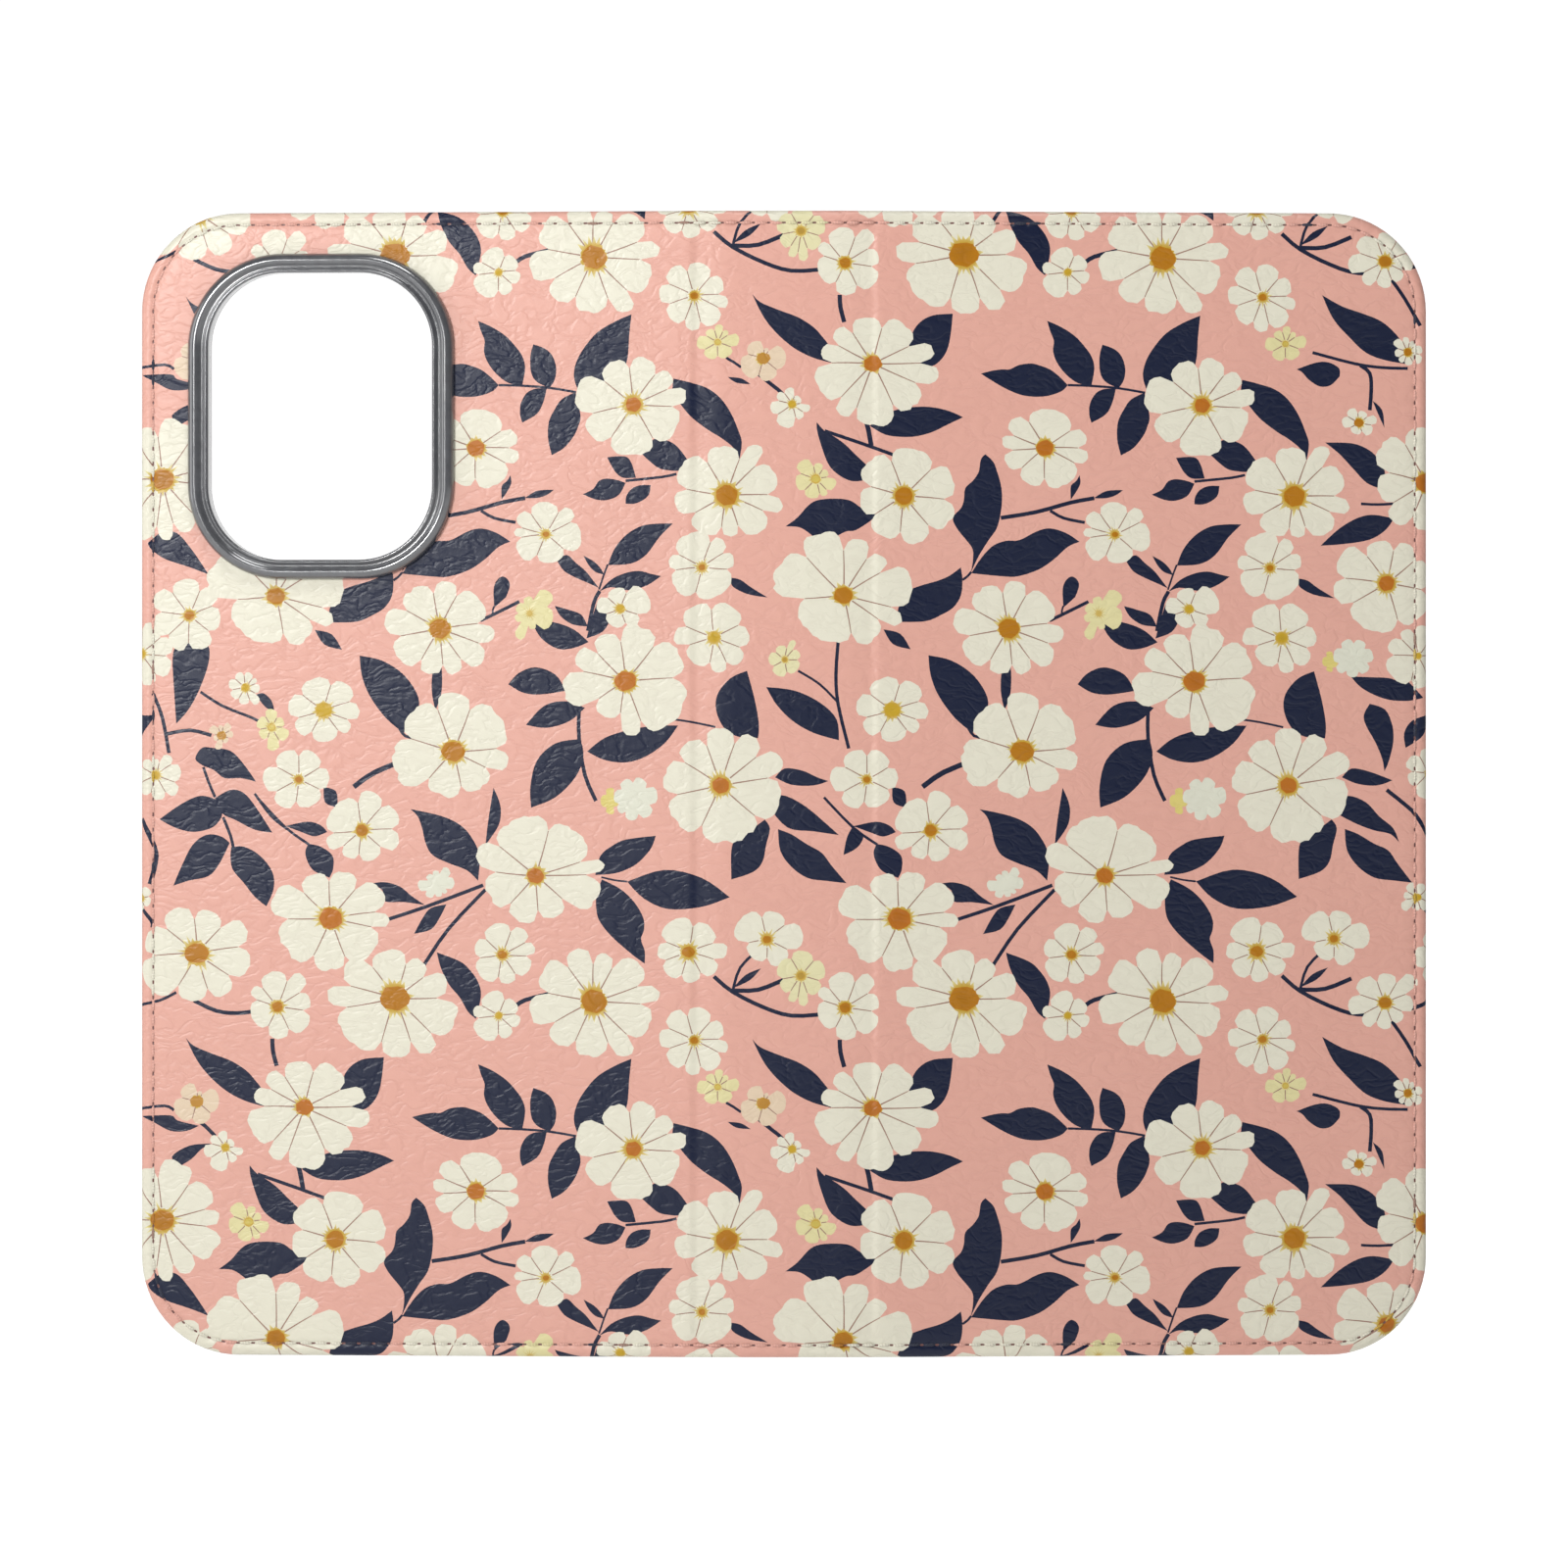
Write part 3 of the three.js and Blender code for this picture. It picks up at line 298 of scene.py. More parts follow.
END_LEAVES = [
    ((-86.3, 9.6), [(-84.5, 11), (-82.4, 11), (-80.6, 9.1), (-79.1, 7)], (-78, 5.3),
     [(-80.6, 6.3), (-83.9, 7.4), (-85.8, 8.7)]),
    ((-77.6, 28.7), [(-80.6, 28.4), (-83, 26.9)], (-81.9, 25.6), [(-80.3, 26.6), (-79, 27.9)]),
    ((-87.2, 32.4), [(-83.2, 32.5), (-82.2, 31.8)], (-79.3, 31.1), [(-81, 30.4), (-83.2, 30.4), (-85.4, 31.5)]),
    ((-82.4, 85.7), [(-82.7, 90.2), (-82.9, 94.5), (-82.3, 96.3)], (-80.2, 97.3),
     [(-78.1, 96.4), (-78, 93.9), (-79.3, 90.2), (-80.8, 87.5)]),
    ((-71.6, 89.6), [(-70.5, 89.8), (-69.4, 88.8)], (-69, 87.4), [(-70.2, 87.9)]),
    ((-88, 86.9), [(-86.5, 86.8), (-85.5, 86.6)], (-87.3, 84), [(-87.8, 85.5)]),
    ((-78.6, 79.9), [(-79.8, 80.9), (-78.9, 82.4), (-77.4, 82.4), (-75, 82), (-73.2, 80.2)], (-71.5, 77.8),
     [(-73.6, 78.3), (-75.8, 78.3), (-77.3, 79.4)]),
    ((-84.7, 72.7), [(-81.7, 74.8), (-79.1, 75.9)], (-76.9, 75.4),
     [(-76.1, 73.5), (-77.3, 71.7), (-79.9, 71), (-82.4, 71.5)]),
    ((-77.1, 75.6), [(-75, 76.7), (-73.2, 76.3), (-71.5, 74.3)], (-69.3, 70.9),
     [(-71.7, 71.3), (-74.3, 72.6), (-76.1, 73.5)]),
    ((-82.8, 63.7), [(-81.7, 66.3), (-80.2, 69.2), (-78.3, 70.6), (-76.3, 70.4)], (-75.1, 69.5),
     [(-76.5, 66.7), (-78, 65), (-80.6, 64.4)]),
    ((-74.9, 68.9), [(-73.2, 69), (-71, 67.8), (-69.3, 65.6), (-69.1, 63.3)], (-70.1, 60.9),
     [(-71.7, 62.2), (-73.2, 64.1), (-74.7, 65.9), (-75, 67.6)]),
    ((69.4, 33.1), [(71.9, 34), (73.7, 34.1), (75.2, 33.3)], (75.3, 32.2),
     [(74.1, 31), (72.6, 30.8), (71.1, 31.7), (70.2, 32.7)]),
    ((79.8, 28.9), [(81.1, 27.6)], (81.4, 25.2), [(80.4, 27.4)]),
    ((73.3, 23.2), [(77, 23.1), (79.3, 22.2), (80.6, 20.9), (81.5, 19)], (80.7, 17),
     [(78.9, 17.8), (77, 19.8), (75.2, 21.7)]),
    ((72.7, 9.2), [(75.2, 11.5), (77.8, 13), (80, 13.4)], (82.7, 12.9), [(81.5, 11.3), (79.3, 10), (75.6, 9.4)]),
    ((76.8, 92.1), [(79.3, 92), (81.9, 91.9), (83.3, 91.5), (84.3, 91.6), (85.4, 90.7)], (86.7, 89.2),
     [(84.8, 88.8), (82.2, 88.9), (80, 89.6), (78.1, 90.7)]),
    ((79.4, 88.4), [(81.5, 87.6), (82.5, 85.4), (82.6, 83.1), (82, 80.6)], (81.4, 79.2),
     [(81.1, 80.9), (80.2, 83.1), (78.9, 85.4), (78.6, 86.9)]),
    ((87.4, 86.9), [(85.2, 86.1), (84.1, 84.4)], (84.3, 82.4), [(86.3, 83.7), (87.4, 85.4)]),
    ((75.6, 78.4), [(76.9, 79.6), (79.3, 79.2)], (82.5, 78), [(80.4, 77.3), (77.8, 77.5)]),
    ((74.8, 75), [(76.5, 75.9), (78.9, 75), (80.7, 73.1), (82.6, 71.5)], (83.4, 69.6),
     [(82.2, 70.7), (80, 71.2), (77.8, 72), (75.6, 73.1), (74.6, 73.8)]),
    ((76, 71.4), [(77.8, 70.7), (80, 69.4), (81.9, 68.5), (83.2, 66.7)], (85.2, 64.1),
     [(82.6, 64.4), (80, 64.8), (77.8, 66.3), (76.3, 68.5)]),
    ((72.9, 43.2), [(75.6, 41.7), (78.5, 40.7), (81.1, 39.6), (83.1, 37.8), (83.8, 36.5)], (84.4, 33.9),
     [(81.5, 34.4), (78.9, 35.4), (76.7, 37.4), (74.4, 40)]),
]
END_STEMS = [
    ([(-87.4, 33.4), (-84, 33.8), (-82.7, 33.2)], 0.3),
    ([(-80.4, 32.5), (-78.5, 31.1), (-77.1, 29.7)], 0.4),
    ([(-79.1, 90), (-76.1, 88.1), (-72.1, 86.5), (-70.4, 85.6)], 0.3),
    ([(-85.6, 89.8), (-84.3, 86.5), (-83.4, 81.7)], 0.38),
    ([(-83.7, 84.3), (-80.5, 84.8), (-77.6, 84.1)], 0.38),
    ([(-78.7, 79.8), (-78, 77.8), (-77.1, 75.7)], 0.3),
    ([(-76, 73), (-75, 70.5), (-74.6, 68.8)], 0.32),
    ([(-71.7, 76.2), (-69.5, 73.2), (-67.3, 71.4)], 0.28),
    ([(-87.2, 72.8), (-85.4, 69), (-85.2, 67), (-86, 63.9)], 0.5),
    ([(-87.4, 47.5), (-84.7, 48.1), (-82.4, 49.2)], 0.3),
    ([(-80, 48.1), (-76.9, 46.7), (-74.1, 46.4), (-71.5, 46.7)], 0.42),
    ([(-87.4, 60.9), (-85.8, 58.9), (-85.7, 58)], 0.38),
    ([(71.6, 35.4), (77.4, 33.9), (81.1, 33.4), (84.6, 33.3)], 0.32),
    ([(78.1, 33.7), (79.4, 32.6), (79.6, 30.4), (79.4, 27.6)], 0.4),
    ([(78.2, 14.9), (80.5, 14.8), (83.9, 15)], 0.28),
    ([(81.7, 76.7), (84.1, 74.8), (85.7, 73.3), (87.3, 70.6)], 0.42),
    ([(84.3, 46.9), (85.8, 47.2), (87.4, 47.9)], 0.42),
    ([(82.4, 45.3), (84.3, 42.6), (86.3, 39.1)], 0.38),
    ([(86.2, 61), (86.9, 60.6), (87.6, 60.1)], 0.5),
]


# ---------------------------------------------------------------------------------------------
# Colours, given as they read on a screen and turned to linear light.
# ---------------------------------------------------------------------------------------------
def tint(r, g, b):
    c = np.array([r, g, b]) / 255.0
    return np.where(c <= 0.04045, c / 12.92, ((c + 0.055) / 1.055) ** 2.4)


PINK = tint(185, 139, 126)
CREAM = tint(187, 184, 168)
NAVY = tint(11, 19, 42)
VEIN = tint(130, 103, 90)
HALO_OUT = tint(183, 176, 125)
HALO_IN = tint(160, 128, 38)
# Painted shade: the dark colour put into the needle holes of the seam.
NEEDLE_HOLE_SHADE = tint(96, 66, 62)
PETALS = {"ochre": CREAM, "orange": CREAM, "yellow": CREAM, "pale": tint(183, 178, 141), "straw": tint(183, 176, 132),
          "peach": tint(184, 166, 143), "bud": tint(181, 181, 166), "lemon": tint(179, 166, 97)}
CORES = {"ochre": tint(147, 95, 8), "orange": tint(151, 88, 19), "yellow": tint(162, 132, 30),
        "pale": tint(147, 117, 45),
         "straw": tint(169, 151, 71), "peach": tint(153, 110, 40)}


class Shape:
    """A closed outline filled with one colour, or graded outwards from a centre."""

    def __init__(self, points, colour, centre=None, reach=None, outer=None):
        self.points = np.asarray(points, float)
        self.colour, self.centre, self.reach, self.outer = colour, centre, reach, outer
        self.low, self.high = self.points.min(0), self.points.max(0)

    def holds(self, p):
        a, b = self.points, np.roll(self.points, -1, 0)
        inside = np.zeros(len(p), bool)
        for (x1, y1), (x2, y2) in zip(a, b):
            if y1 == y2:
                continue
            crosses = (y1 > p[:, 1]) != (y2 > p[:, 1])
            inside ^= crosses & (p[:, 0] < (x2 - x1) * (p[:, 1] - y1) / (y2 - y1) + x1)
        return inside

    def shade(self, p):
        if self.centre is None:
            return np.broadcast_to(self.colour, (len(p), 3))
        t = np.linalg.norm(p - self.centre, axis=1)
        t = np.clip((t - self.reach[0]) / (self.reach[1] - self.reach[0]), 0, 1)[:, None]
        return self.colour * (1 - t) + self.outer * t


def wobble(seed, k):
    """A repeatable number from -1 to 1."""
    return math.sin(seed * 12.9898 + k * 78.233 + math.sin(seed * 3.7 + k * 1.9) * 4.1)


def through(points, steps=4):
    """A smooth curve through the points, without its last one."""
    p = [np.array(points[0])] + [np.array(q, float) for q in points] + [np.array(points[-1])]
    out = []
    for i in range(1, len(p) - 2):
        for j in range(steps):
            t = j / steps
            out.append(0.5 * (2 * p[i] + (p[i + 1] - p[i - 1]) * t
                              + (2 * p[i - 1] - 5 * p[i] + 4 * p[i + 1] - p[i + 2]) * t * t
                              + (3 * p[i] - p[i - 1] - 3 * p[i + 1] + p[i + 2]) * t ** 3))
    return out


def leaf_shape(leaf):
    a, side, b, back = leaf
    return Shape(through([a, *side, b]) + through([b, *back, a]), NAVY)


def stroke_shape(points, width, colour, tip=None):
    line = np.array(through(points, 3) + [np.array(points[-1], float)])
    run = np.gradient(line, axis=0)
    side = np.stack([-run[:, 1], run[:, 0]], 1) / np.linalg.norm(run, axis=1)[:, None]
    half = np.linspace(width, width if tip is None else tip, len(line))[:, None] / 2
    return Shape(np.concatenate([line + side * half, (line - side * half)[::-1]]), colour)


def flower_shapes(flower):
    """A painted blossom: petals with a softly notched outline, the lines between them, stamens and core."""
    x, y, kind, core, halo, petals = flower
    centre = np.array([x, y])
    starts, tips = [math.radians(a) for a in petals[::2]], petals[1::2]
    count = len(starts)
    outline, lines = [], []
    for i in range(count):
        begin, end = starts[i], starts[(i + 1) % count] + (math.tau if i == count - 1 else 0)
        notch_a = 0.76 * min(tips[i - 1], tips[i])
        notch_b = 0.76 * min(tips[i], tips[(i + 1) % count])
        arc = tips[i] * (end - begin)
        lobes = 3 if arc > 8.6 else 2 if arc > 5.6 else 1
        steps = max(6, int(arc / 0.62))
        seed = x * 1.7 + y * 0.9 + i
        lean = 0.12 * wobble(seed, 1)
        power = 2.9 if arc > 6 else 2.2
        for j in range(steps):
            t = j / steps
            angle = begin + (end - begin) * t
            skew = t + lean * math.sin(math.pi * t) ** 2
            bump = (1 - abs(2 * skew - 1) ** power) ** 0.5 if 0 < skew < 1 else 0
            base = notch_a + (notch_b - notch_a) * t
            radius = base + (tips[i] - base) * bump
            if lobes > 1:
                radius -= (0.032 + 0.018 * wobble(seed, 2)) * tips[i] * bump * (
                    0.5 + 0.5 * math.cos(math.tau * lobes * (t - 0.08 * wobble(seed, 3)))) ** 3
            radius += 0.012 * tips[i] * wobble(seed * 3.1, j)
            outline.append(centre + radius * np.array([math.cos(angle), math.sin(angle)]))
        if halo > 0 and core > 0.2:
            sweep = 0.05 * wobble(seed, 5)
            path = [centre + r * np.array([math.cos(begin + sweep * s), math.sin(begin + sweep * s)])
                    for r, s in ((halo * 0.8, 1), (0.5 * (halo + notch_a), 0.4), (notch_a * 1.01, 0))]
            lines.append(stroke_shape(path, 0.2 if tips[i] > 5.5 else 0.16, VEIN, 0.12))
    shapes = [Shape(outline, PETALS[kind])] + lines
    if halo > 0:
        rays = 22 if halo > 1.7 else 14
        star = []
        for j in range(2 * rays):
            radius = halo * (1.0 + 0.3 * wobble(x + y, j)) if j % 2 else core + 0.3 * (halo - core)
            angle = math.pi * j / rays + 0.05 * wobble(x, j)
            star.append(centre + radius * np.array([math.cos(angle), math.sin(angle)]))
        shapes.append(Shape(star, HALO_IN, centre, (core, halo * 1.1), HALO_OUT))
    if core > 0:
        points = 14 if core > 0.9 else 9
        shapes.append(Shape([centre + core * (1 + 0.07 * wobble(y, j)) * np.array(
            [math.cos(math.tau * j / points) * (1.06 + 0.08 * wobble(x, 7)), math.sin(math.tau * j / points) * 0.93])
            for j in range(points)], CORES[kind] * 0.82, centre, (0, core), CORES[kind]))
    return shapes


def moved(shape, dx, dy):
    shift = np.array([dx, dy])
    return Shape(shape.points + shift, shape.colour, None if shape.centre is None else shape.centre + shift,
                 shape.reach, shape.outer)


def along_case(shape):
    """From seen position to position along the laid-flat case: the panels stand 6 degrees off square."""
    def spread(p):
        x = np.abs(p[..., 0])
        flat = np.where(x > FOLD, FOLD + (x - FOLD) / math.cos(OPEN_ANGLE), x)
        return np.stack([np.sign(p[..., 0]) * flat, p[..., 1]], -1)
    return Shape(spread(shape.points), shape.colour, None if shape.centre is None else spread(shape.centre),
                 shape.reach, shape.outer)


def kept(column, u, v):
    """Whether a motif of the outer repeats belongs to the print there, or the end strip takes its place."""
    level = v % REPEAT[1]
    if column < 0:
        return not (u < -77 or (u < -68.2 and 49 < level < 99))
    if column > 0:
        return not (u > 75.5 or (u > 68.9 and 26 < level < 36))
    return True


STEM_GAIN = 1.3


def print_shapes():
    """Every shape of the print, in the order it was painted."""
    under, over = [], []
    tile = ([("stem", stroke_shape(p, w * STEM_GAIN, NAVY), p[len(p) // 2]) for p, w in STEMS]
            + [("leaf", leaf_shape(f), ((f[0][0] + f[2][0]) / 2, (f[0][1] + f[2][1]) / 2)) for f in LEAVES])
    blooms = [(flower_shapes(f), f[:2]) for f in FLOWERS]
    end_marks = ([stroke_shape(p, w * STEM_GAIN, NAVY) for p, w in END_STEMS] + [leaf_shape(f) for f in END_LEAVES])
    end_blooms = [flower_shapes(f) for f in END_FLOWERS]
    for row in (-1, 0, 1):
        for column in (-1, 0, 1):
            dx, dy = REPEAT_AT[0] + REPEAT[0] * column, REPEAT_AT[1] + REPEAT[1] * row
            under += [moved(s, dx, dy) for _, s, at in tile if kept(column, at[0] + dx, at[1] + dy)]
            for shapes, at in blooms:
                if kept(column, at[0] + dx, at[1] + dy):
                    over += [moved(s, dx, dy) for s in shapes]
        under += [moved(s, 0, REPEAT[1] * row) for s in end_marks]
        over += [moved(s, 0, REPEAT[1] * row) for shapes in end_blooms for s in shapes]
    margin = 5.0
    shapes = [along_case(s) for s in under + over]
    return [s for s in shapes if s.high[0] > -HALF - margin and s.low[0] < HALF + margin
            and s.high[1] > -margin and s.low[1] < HEIGHT + margin]


def owner_of(shapes, p):
    """Which shape was painted last over each point, or -1 for the ground."""
    order = np.argsort(p[:, 0])
    sorted_x = p[order, 0]
    owner = np.full(len(p), -1)
    for i, shape in enumerate(shapes):
        near = order[np.searchsorted(sorted_x, shape.low[0]):np.searchsorted(sorted_x, shape.high[0])]
        near = near[(p[near, 1] > shape.low[1]) & (p[near, 1] < shape.high[1])]
        if len(near):
            owner[near[shape.holds(p[near])]] = i
    return owner


def shades_of(shapes, owner, places):
    """The colours of places, which hold one or more points for each owner."""
    colours = np.tile(PINK, (*places.shape[:-1], 1))
    order = np.argsort(owner, kind="stable")
    order = order[owner[order] >= 0]
    found, first = np.unique(owner[order], return_index=True)
    for i, rows in zip(found, np.split(order, first[1:])):
        spots = places[rows].reshape(-1, 2)
        colours[rows] = shapes[i].shade(spots).reshape(*places[rows].shape[:-1], 3)
    return colours


# ---------------------------------------------------------------------------------------------
# Outline of the case, and the skin that rolls over its edge
# ---------------------------------------------------------------------------------------------
MIDDLE = HEIGHT / 2
CORE_X, CORE_Z = HALF - CORNER, MIDDLE - CORNER          # corner centres
LONG_STITCHES, TALL_STITCHES, TURN_STITCHES = 72, 62, 9
ROLL_WIDE, ROLL_DEEP, ROLL_LENGTH, HEM = 1.1, 0.85, 3.09, 1.6


def stations(per_stitch):
    """Skeleton point and outward direction round the outline, anticlockwise from the lower left."""
    out = []
    for cx, cz, tx, tz, start, straight in ((-1, -1, 1, 0, -90, LONG_STITCHES), (1, -1, 0, 1, 0, TALL_STITCHES),
                                            (1, 1, -1, 0, 90, LONG_STITCHES), (-1, 1, 0, -1, 180, TALL_STITCHES)):
        length = 2 * (CORE_X if tx else CORE_Z)
        normal = np.array([math.cos(math.radians(start)), math.sin(math.radians(start))])
        corner = np.array([cx * CORE_X, MIDDLE + cz * CORE_Z])
        steps = int(straight * per_stitch)
        for i in range(steps):
            out.append((corner + np.array([tx, tz]) * length * i / steps, normal))
        turn = max(4, int(TURN_STITCHES * per_stitch))
        far = corner + np.array([tx, tz]) * length
        for i in range(turn):
            angle = math.radians(start + 90 * i / turn)
            out.append((far, np.array([math.cos(angle), math.sin(angle)])))
    return out


def loop_at(per_stitch, d):
    return [p + n * (CORNER + d) for p, n in stations(per_stitch)]


def outline_frame(p):
    """Signed distance outside the outline, the outward direction, and the count of stitches along the seam."""
    x, z = p[:, 0], p[:, 1] - MIDDLE
    qx, qz = np.abs(x) - CORE_X, np.abs(z) - CORE_Z
    corner = (qx > 0) & (qz > 0)
    reach = np.hypot(np.maximum(qx, 0), np.maximum(qz, 0))
    d = np.where(corner, reach, np.maximum(qx, qz)) - CORNER
    sideways = qx > qz
    safe = np.maximum(reach, 1e-9)
    nx = np.where(corner, qx / safe, sideways) * np.sign(x)
    nz = np.where(corner, qz / safe, ~sideways) * np.sign(z)
    count = np.where(sideways, (z + CORE_Z) / (2 * CORE_Z) * TALL_STITCHES,
            (x + CORE_X) / (2 * CORE_X) * LONG_STITCHES)
    count = np.where(corner, np.degrees(np.arctan2(qz, qx)) / 90 * TURN_STITCHES, count)
    return d, np.stack([nx, nz], 1), count


def relief(s, z, d, count):
    """How far the skin's face sinks below its flat level: seam channel, needle pits, board edge and folds."""
    to_hole = np.abs(count - np.round(count)) * 2.07
    across = np.exp(-((d + SEAM) / 0.36) ** 2)
    sunk = across * (0.07 + 0.15 * np.exp(-(to_hole / 0.42) ** 2))
    sunk -= 0.05 * np.exp(-((d + 1.0) / 0.4) ** 2) * (1 - np.exp(-(to_hole / 0.6) ** 2))
    sunk += 0.05 * ease((d + 3.3) / 0.9)
    x = np.abs(s)
    sunk += 0.22 * ease((BOARD_EDGE + 0.5 - x) / 1.2) * ease((x - 2.5) / 8.5)
    sunk += 0.015 * np.sin(s * 0.31 + 1.3 * np.sin(z * 0.11)) * np.sin(z * 0.23 + 0.8 * np.sin(s * 0.17))
    return sunk


def skin_place(p):
    """Where each point of the cut skin lies: flat on the panel, rolled over the edge, then turned in as a hem."""
    d, normal, count = outline_frame(p)
    past = d + ROLL_WIDE
    turned = math.pi * np.clip(past, 0, ROLL_LENGTH) / ROLL_LENGTH
    inward = -ROLL_WIDE + ROLL_WIDE * np.sin(turned) - np.maximum(past - ROLL_LENGTH, 0)
    flat = past <= 0
    base = p - normal * d[:, None]
    place = np.where(flat[:, None], p, base + normal * inward[:, None])
    depth = np.where(flat, -FACE, FACE / 2 - 0.95 - ROLL_DEEP * np.cos(turned))
    depth = depth + relief(p[:, 0], p[:, 1], d, count) * np.clip(1 - past / 1.2, 0, 1)
    return fold_up(place[:, 0], depth, place[:, 1])


def rounded_loop(centre, size, radius, per_corner):
    """Points of a rounded rectangle, anticlockwise from its lower right corner."""
    out = []
    for k, (cx, cz) in enumerate(((1, -1), (1, 1), (-1, 1), (-1, -1))):
        middle = np.array(centre) + np.array([cx * (size[0] / 2 - radius), cz * (size[1] / 2 - radius)])
        for i in range(per_corner + 1):
            angle = math.radians(-90 + 90 * k + 90 * i / per_corner)
            out.append(middle + radius * np.array([math.cos(angle), math.sin(angle)]))
    return out


class Plane:
    """Points and constraint edges for one triangulation."""

    def __init__(self):
        self.points, self.edges = [], []

    def loop(self, points, closed=True):
        first, count = len(self.points), len(points)
        self.points += [tuple(q) for q in points]
        self.edges += [(first + i, first + (i + 1) % count) for i in range(count if closed else count - 1)]

    def dots(self, points):
        self.points += [tuple(q) for q in points]

    def cut(self):
        found = delaunay_2d_cdt([Vector(q) for q in self.points], self.edges, [], 0, 1e-5, False)
        return np.array([tuple(v) for v in found[0]]), np.array(found[2])


def add_mesh(name, vertices, faces, smooth=True):
    mesh = bpy.data.meshes.new(name)
    mesh.from_pydata([tuple(v) for v in vertices], [], [tuple(int(i) for i in f) for f in faces])
    mesh.validate()
    if smooth:
        mesh.shade_smooth()
    obj = bpy.data.objects.new(name, mesh)
    bpy.context.scene.collection.objects.link(obj)
    return obj


def set_colour(mesh, colours):
    layer = mesh.color_attributes.new("print", "FLOAT_COLOR", "CORNER")
    layer.data.foreach_set("color",
            np.concatenate([colours, np.ones((len(colours), 1))], 1).astype(np.float32).ravel())


def set_flat_uv(mesh, flat):
    """A UV map that holds each point's place on the laid-flat case, in decimetres."""
    index = np.empty(len(mesh.loops), int)
    mesh.loops.foreach_get("vertex_index", index)
    layer = mesh.uv_layers.new(name="flat")
    layer.data.foreach_set("uv", (flat[index] / 100).astype(np.float32).ravel())


WINDOW, WINDOW_CORNER = (30.6, 38.9), 10.0
CASH_START, CASH_DEPTH = 11.0, (1.3, 1.8)
RING, RING_CORNER = (36.5, 44.2), 12.9
HOLE_MARGIN = 1.5
FOLD_LINES = [5.2, 5.75, 6.35, 6.95, 7.55, 8.15, 8.75, 9.35, 9.95, 10.55, 11.15, 11.6, 11.9, 12.2, 12.5, 12.8, 13.2,
        13.8]
BLEND_BACK = (on_case(-BOARD_EDGE, 0, MIDDLE), on_case(-FOLD + FOLD_HALF, 0, MIDDLE))
BLEND_COVER = (on_case(FOLD - FOLD_HALF, 0, MIDDLE), on_case(BOARD_EDGE, 0, MIDDLE))


def inside_loop(p, loop):
    return Shape(loop, PINK).holds(p)


def needle_hole_shade_shapes():
    """Dark spots at the needle holes at the ends of the stitches: painted shade inside the holes."""
    spots = []
    for i, (p, n) in enumerate(stations(1)):
        middle = p + n * (CORNER - SEAM)
        along = np.array([-n[1], n[0]])
        half = 0.36 + 0.07 * wobble(i, 1)
        spots.append(Shape([middle + along * half * math.cos(a) + n * 0.15 * math.sin(a)
                            for a in np.radians(range(0, 360, 60))], NEEDLE_HOLE_SHADE))
    return spots


def give_body(obj, side):
    """Bakes the piece's placement into its mesh, the same way for either side."""
    if side < 0:
        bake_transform(obj)
    else:
        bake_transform(obj)


def halves(points, faces):
    """The mesh cut at the middle of the spine: for each side, its vertex numbers and its faces."""
    middle = points[faces].mean(1)[:, 0]
    for side in (-1, 1):
        chosen = faces[middle * side > 0]
        used, renumbered = np.unique(chosen, return_inverse=True)
        yield side, used, renumbered.reshape(-1, 3), middle * side > 0


painted = print_shapes()
marks = painted + needle_hole_shade_shapes()


def build_skin():
    plane = Plane()
    for d in (-1.9, -1.65, -1.4):
        plane.loop(loop_at(PITCH_STEPS, d))
    for d in (-3.4, -2.9, -2.45, -2.15, -1.1):
        plane.loop(loop_at(2, d))
    for k in range(1, 9):
        plane.loop(loop_at(2 if k < 6 else 1, -ROLL_WIDE + ROLL_LENGTH * k / 8))
    plane.loop(loop_at(1, -ROLL_WIDE + ROLL_LENGTH + HEM))
    far = 6.0
    plane.loop([(0, -far), (0, HEIGHT + far)], closed=False)
    for x in [side * line for side in (-1, 1) for line in FOLD_LINES]:
        plane.loop([(x, z) for z in np.linspace(3.4, HEIGHT - 3.4, 75)], closed=False)
    hole = rounded_loop(CAMERA, np.array(WINDOW) + 2 * HOLE_MARGIN, WINDOW_CORNER + HOLE_MARGIN, 12)
    plane.loop(hole)
    xs, zs = np.meshgrid(np.arange(-HALF + 4.5, HALF - 4, 2.9), np.arange(4.5, HEIGHT - 4, 2.9))
    grid = np.stack([xs.ravel(), zs.ravel()], 1)
    plane.dots(grid[np.abs(np.abs(grid[:, 0]) - 9.5) > 5])
    for shape in marks:
        plane.loop(shape.points)
    points, faces = plane.cut()
    middle = points[faces].mean(1)
    d, _, _ = outline_frame(middle)
    keep = (d < -ROLL_WIDE + ROLL_LENGTH + HEM) & ~inside_loop(middle, hole)
    faces = faces[keep]
    owner = owner_of(marks, points[faces].mean(1))
    colours = shades_of(marks, owner, points[faces]).reshape(-1, 3)
    place = skin_place(points)
    for side, used, local, chosen in halves(points, faces):
        skin = add_mesh("printed_skin_left" if side < 0 else "printed_skin_right", place[used], local)
        set_colour(skin.data, colours[np.repeat(chosen, 3)])
        set_flat_uv(skin.data, points[used])
        give_body(skin, side)
        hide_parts(*(("outer_skin_back", "fold_skin_back", "outer_skin_spine") if side < 0
                            else ("fold_skin_cover", "outer_skin_cover")))
        yield skin


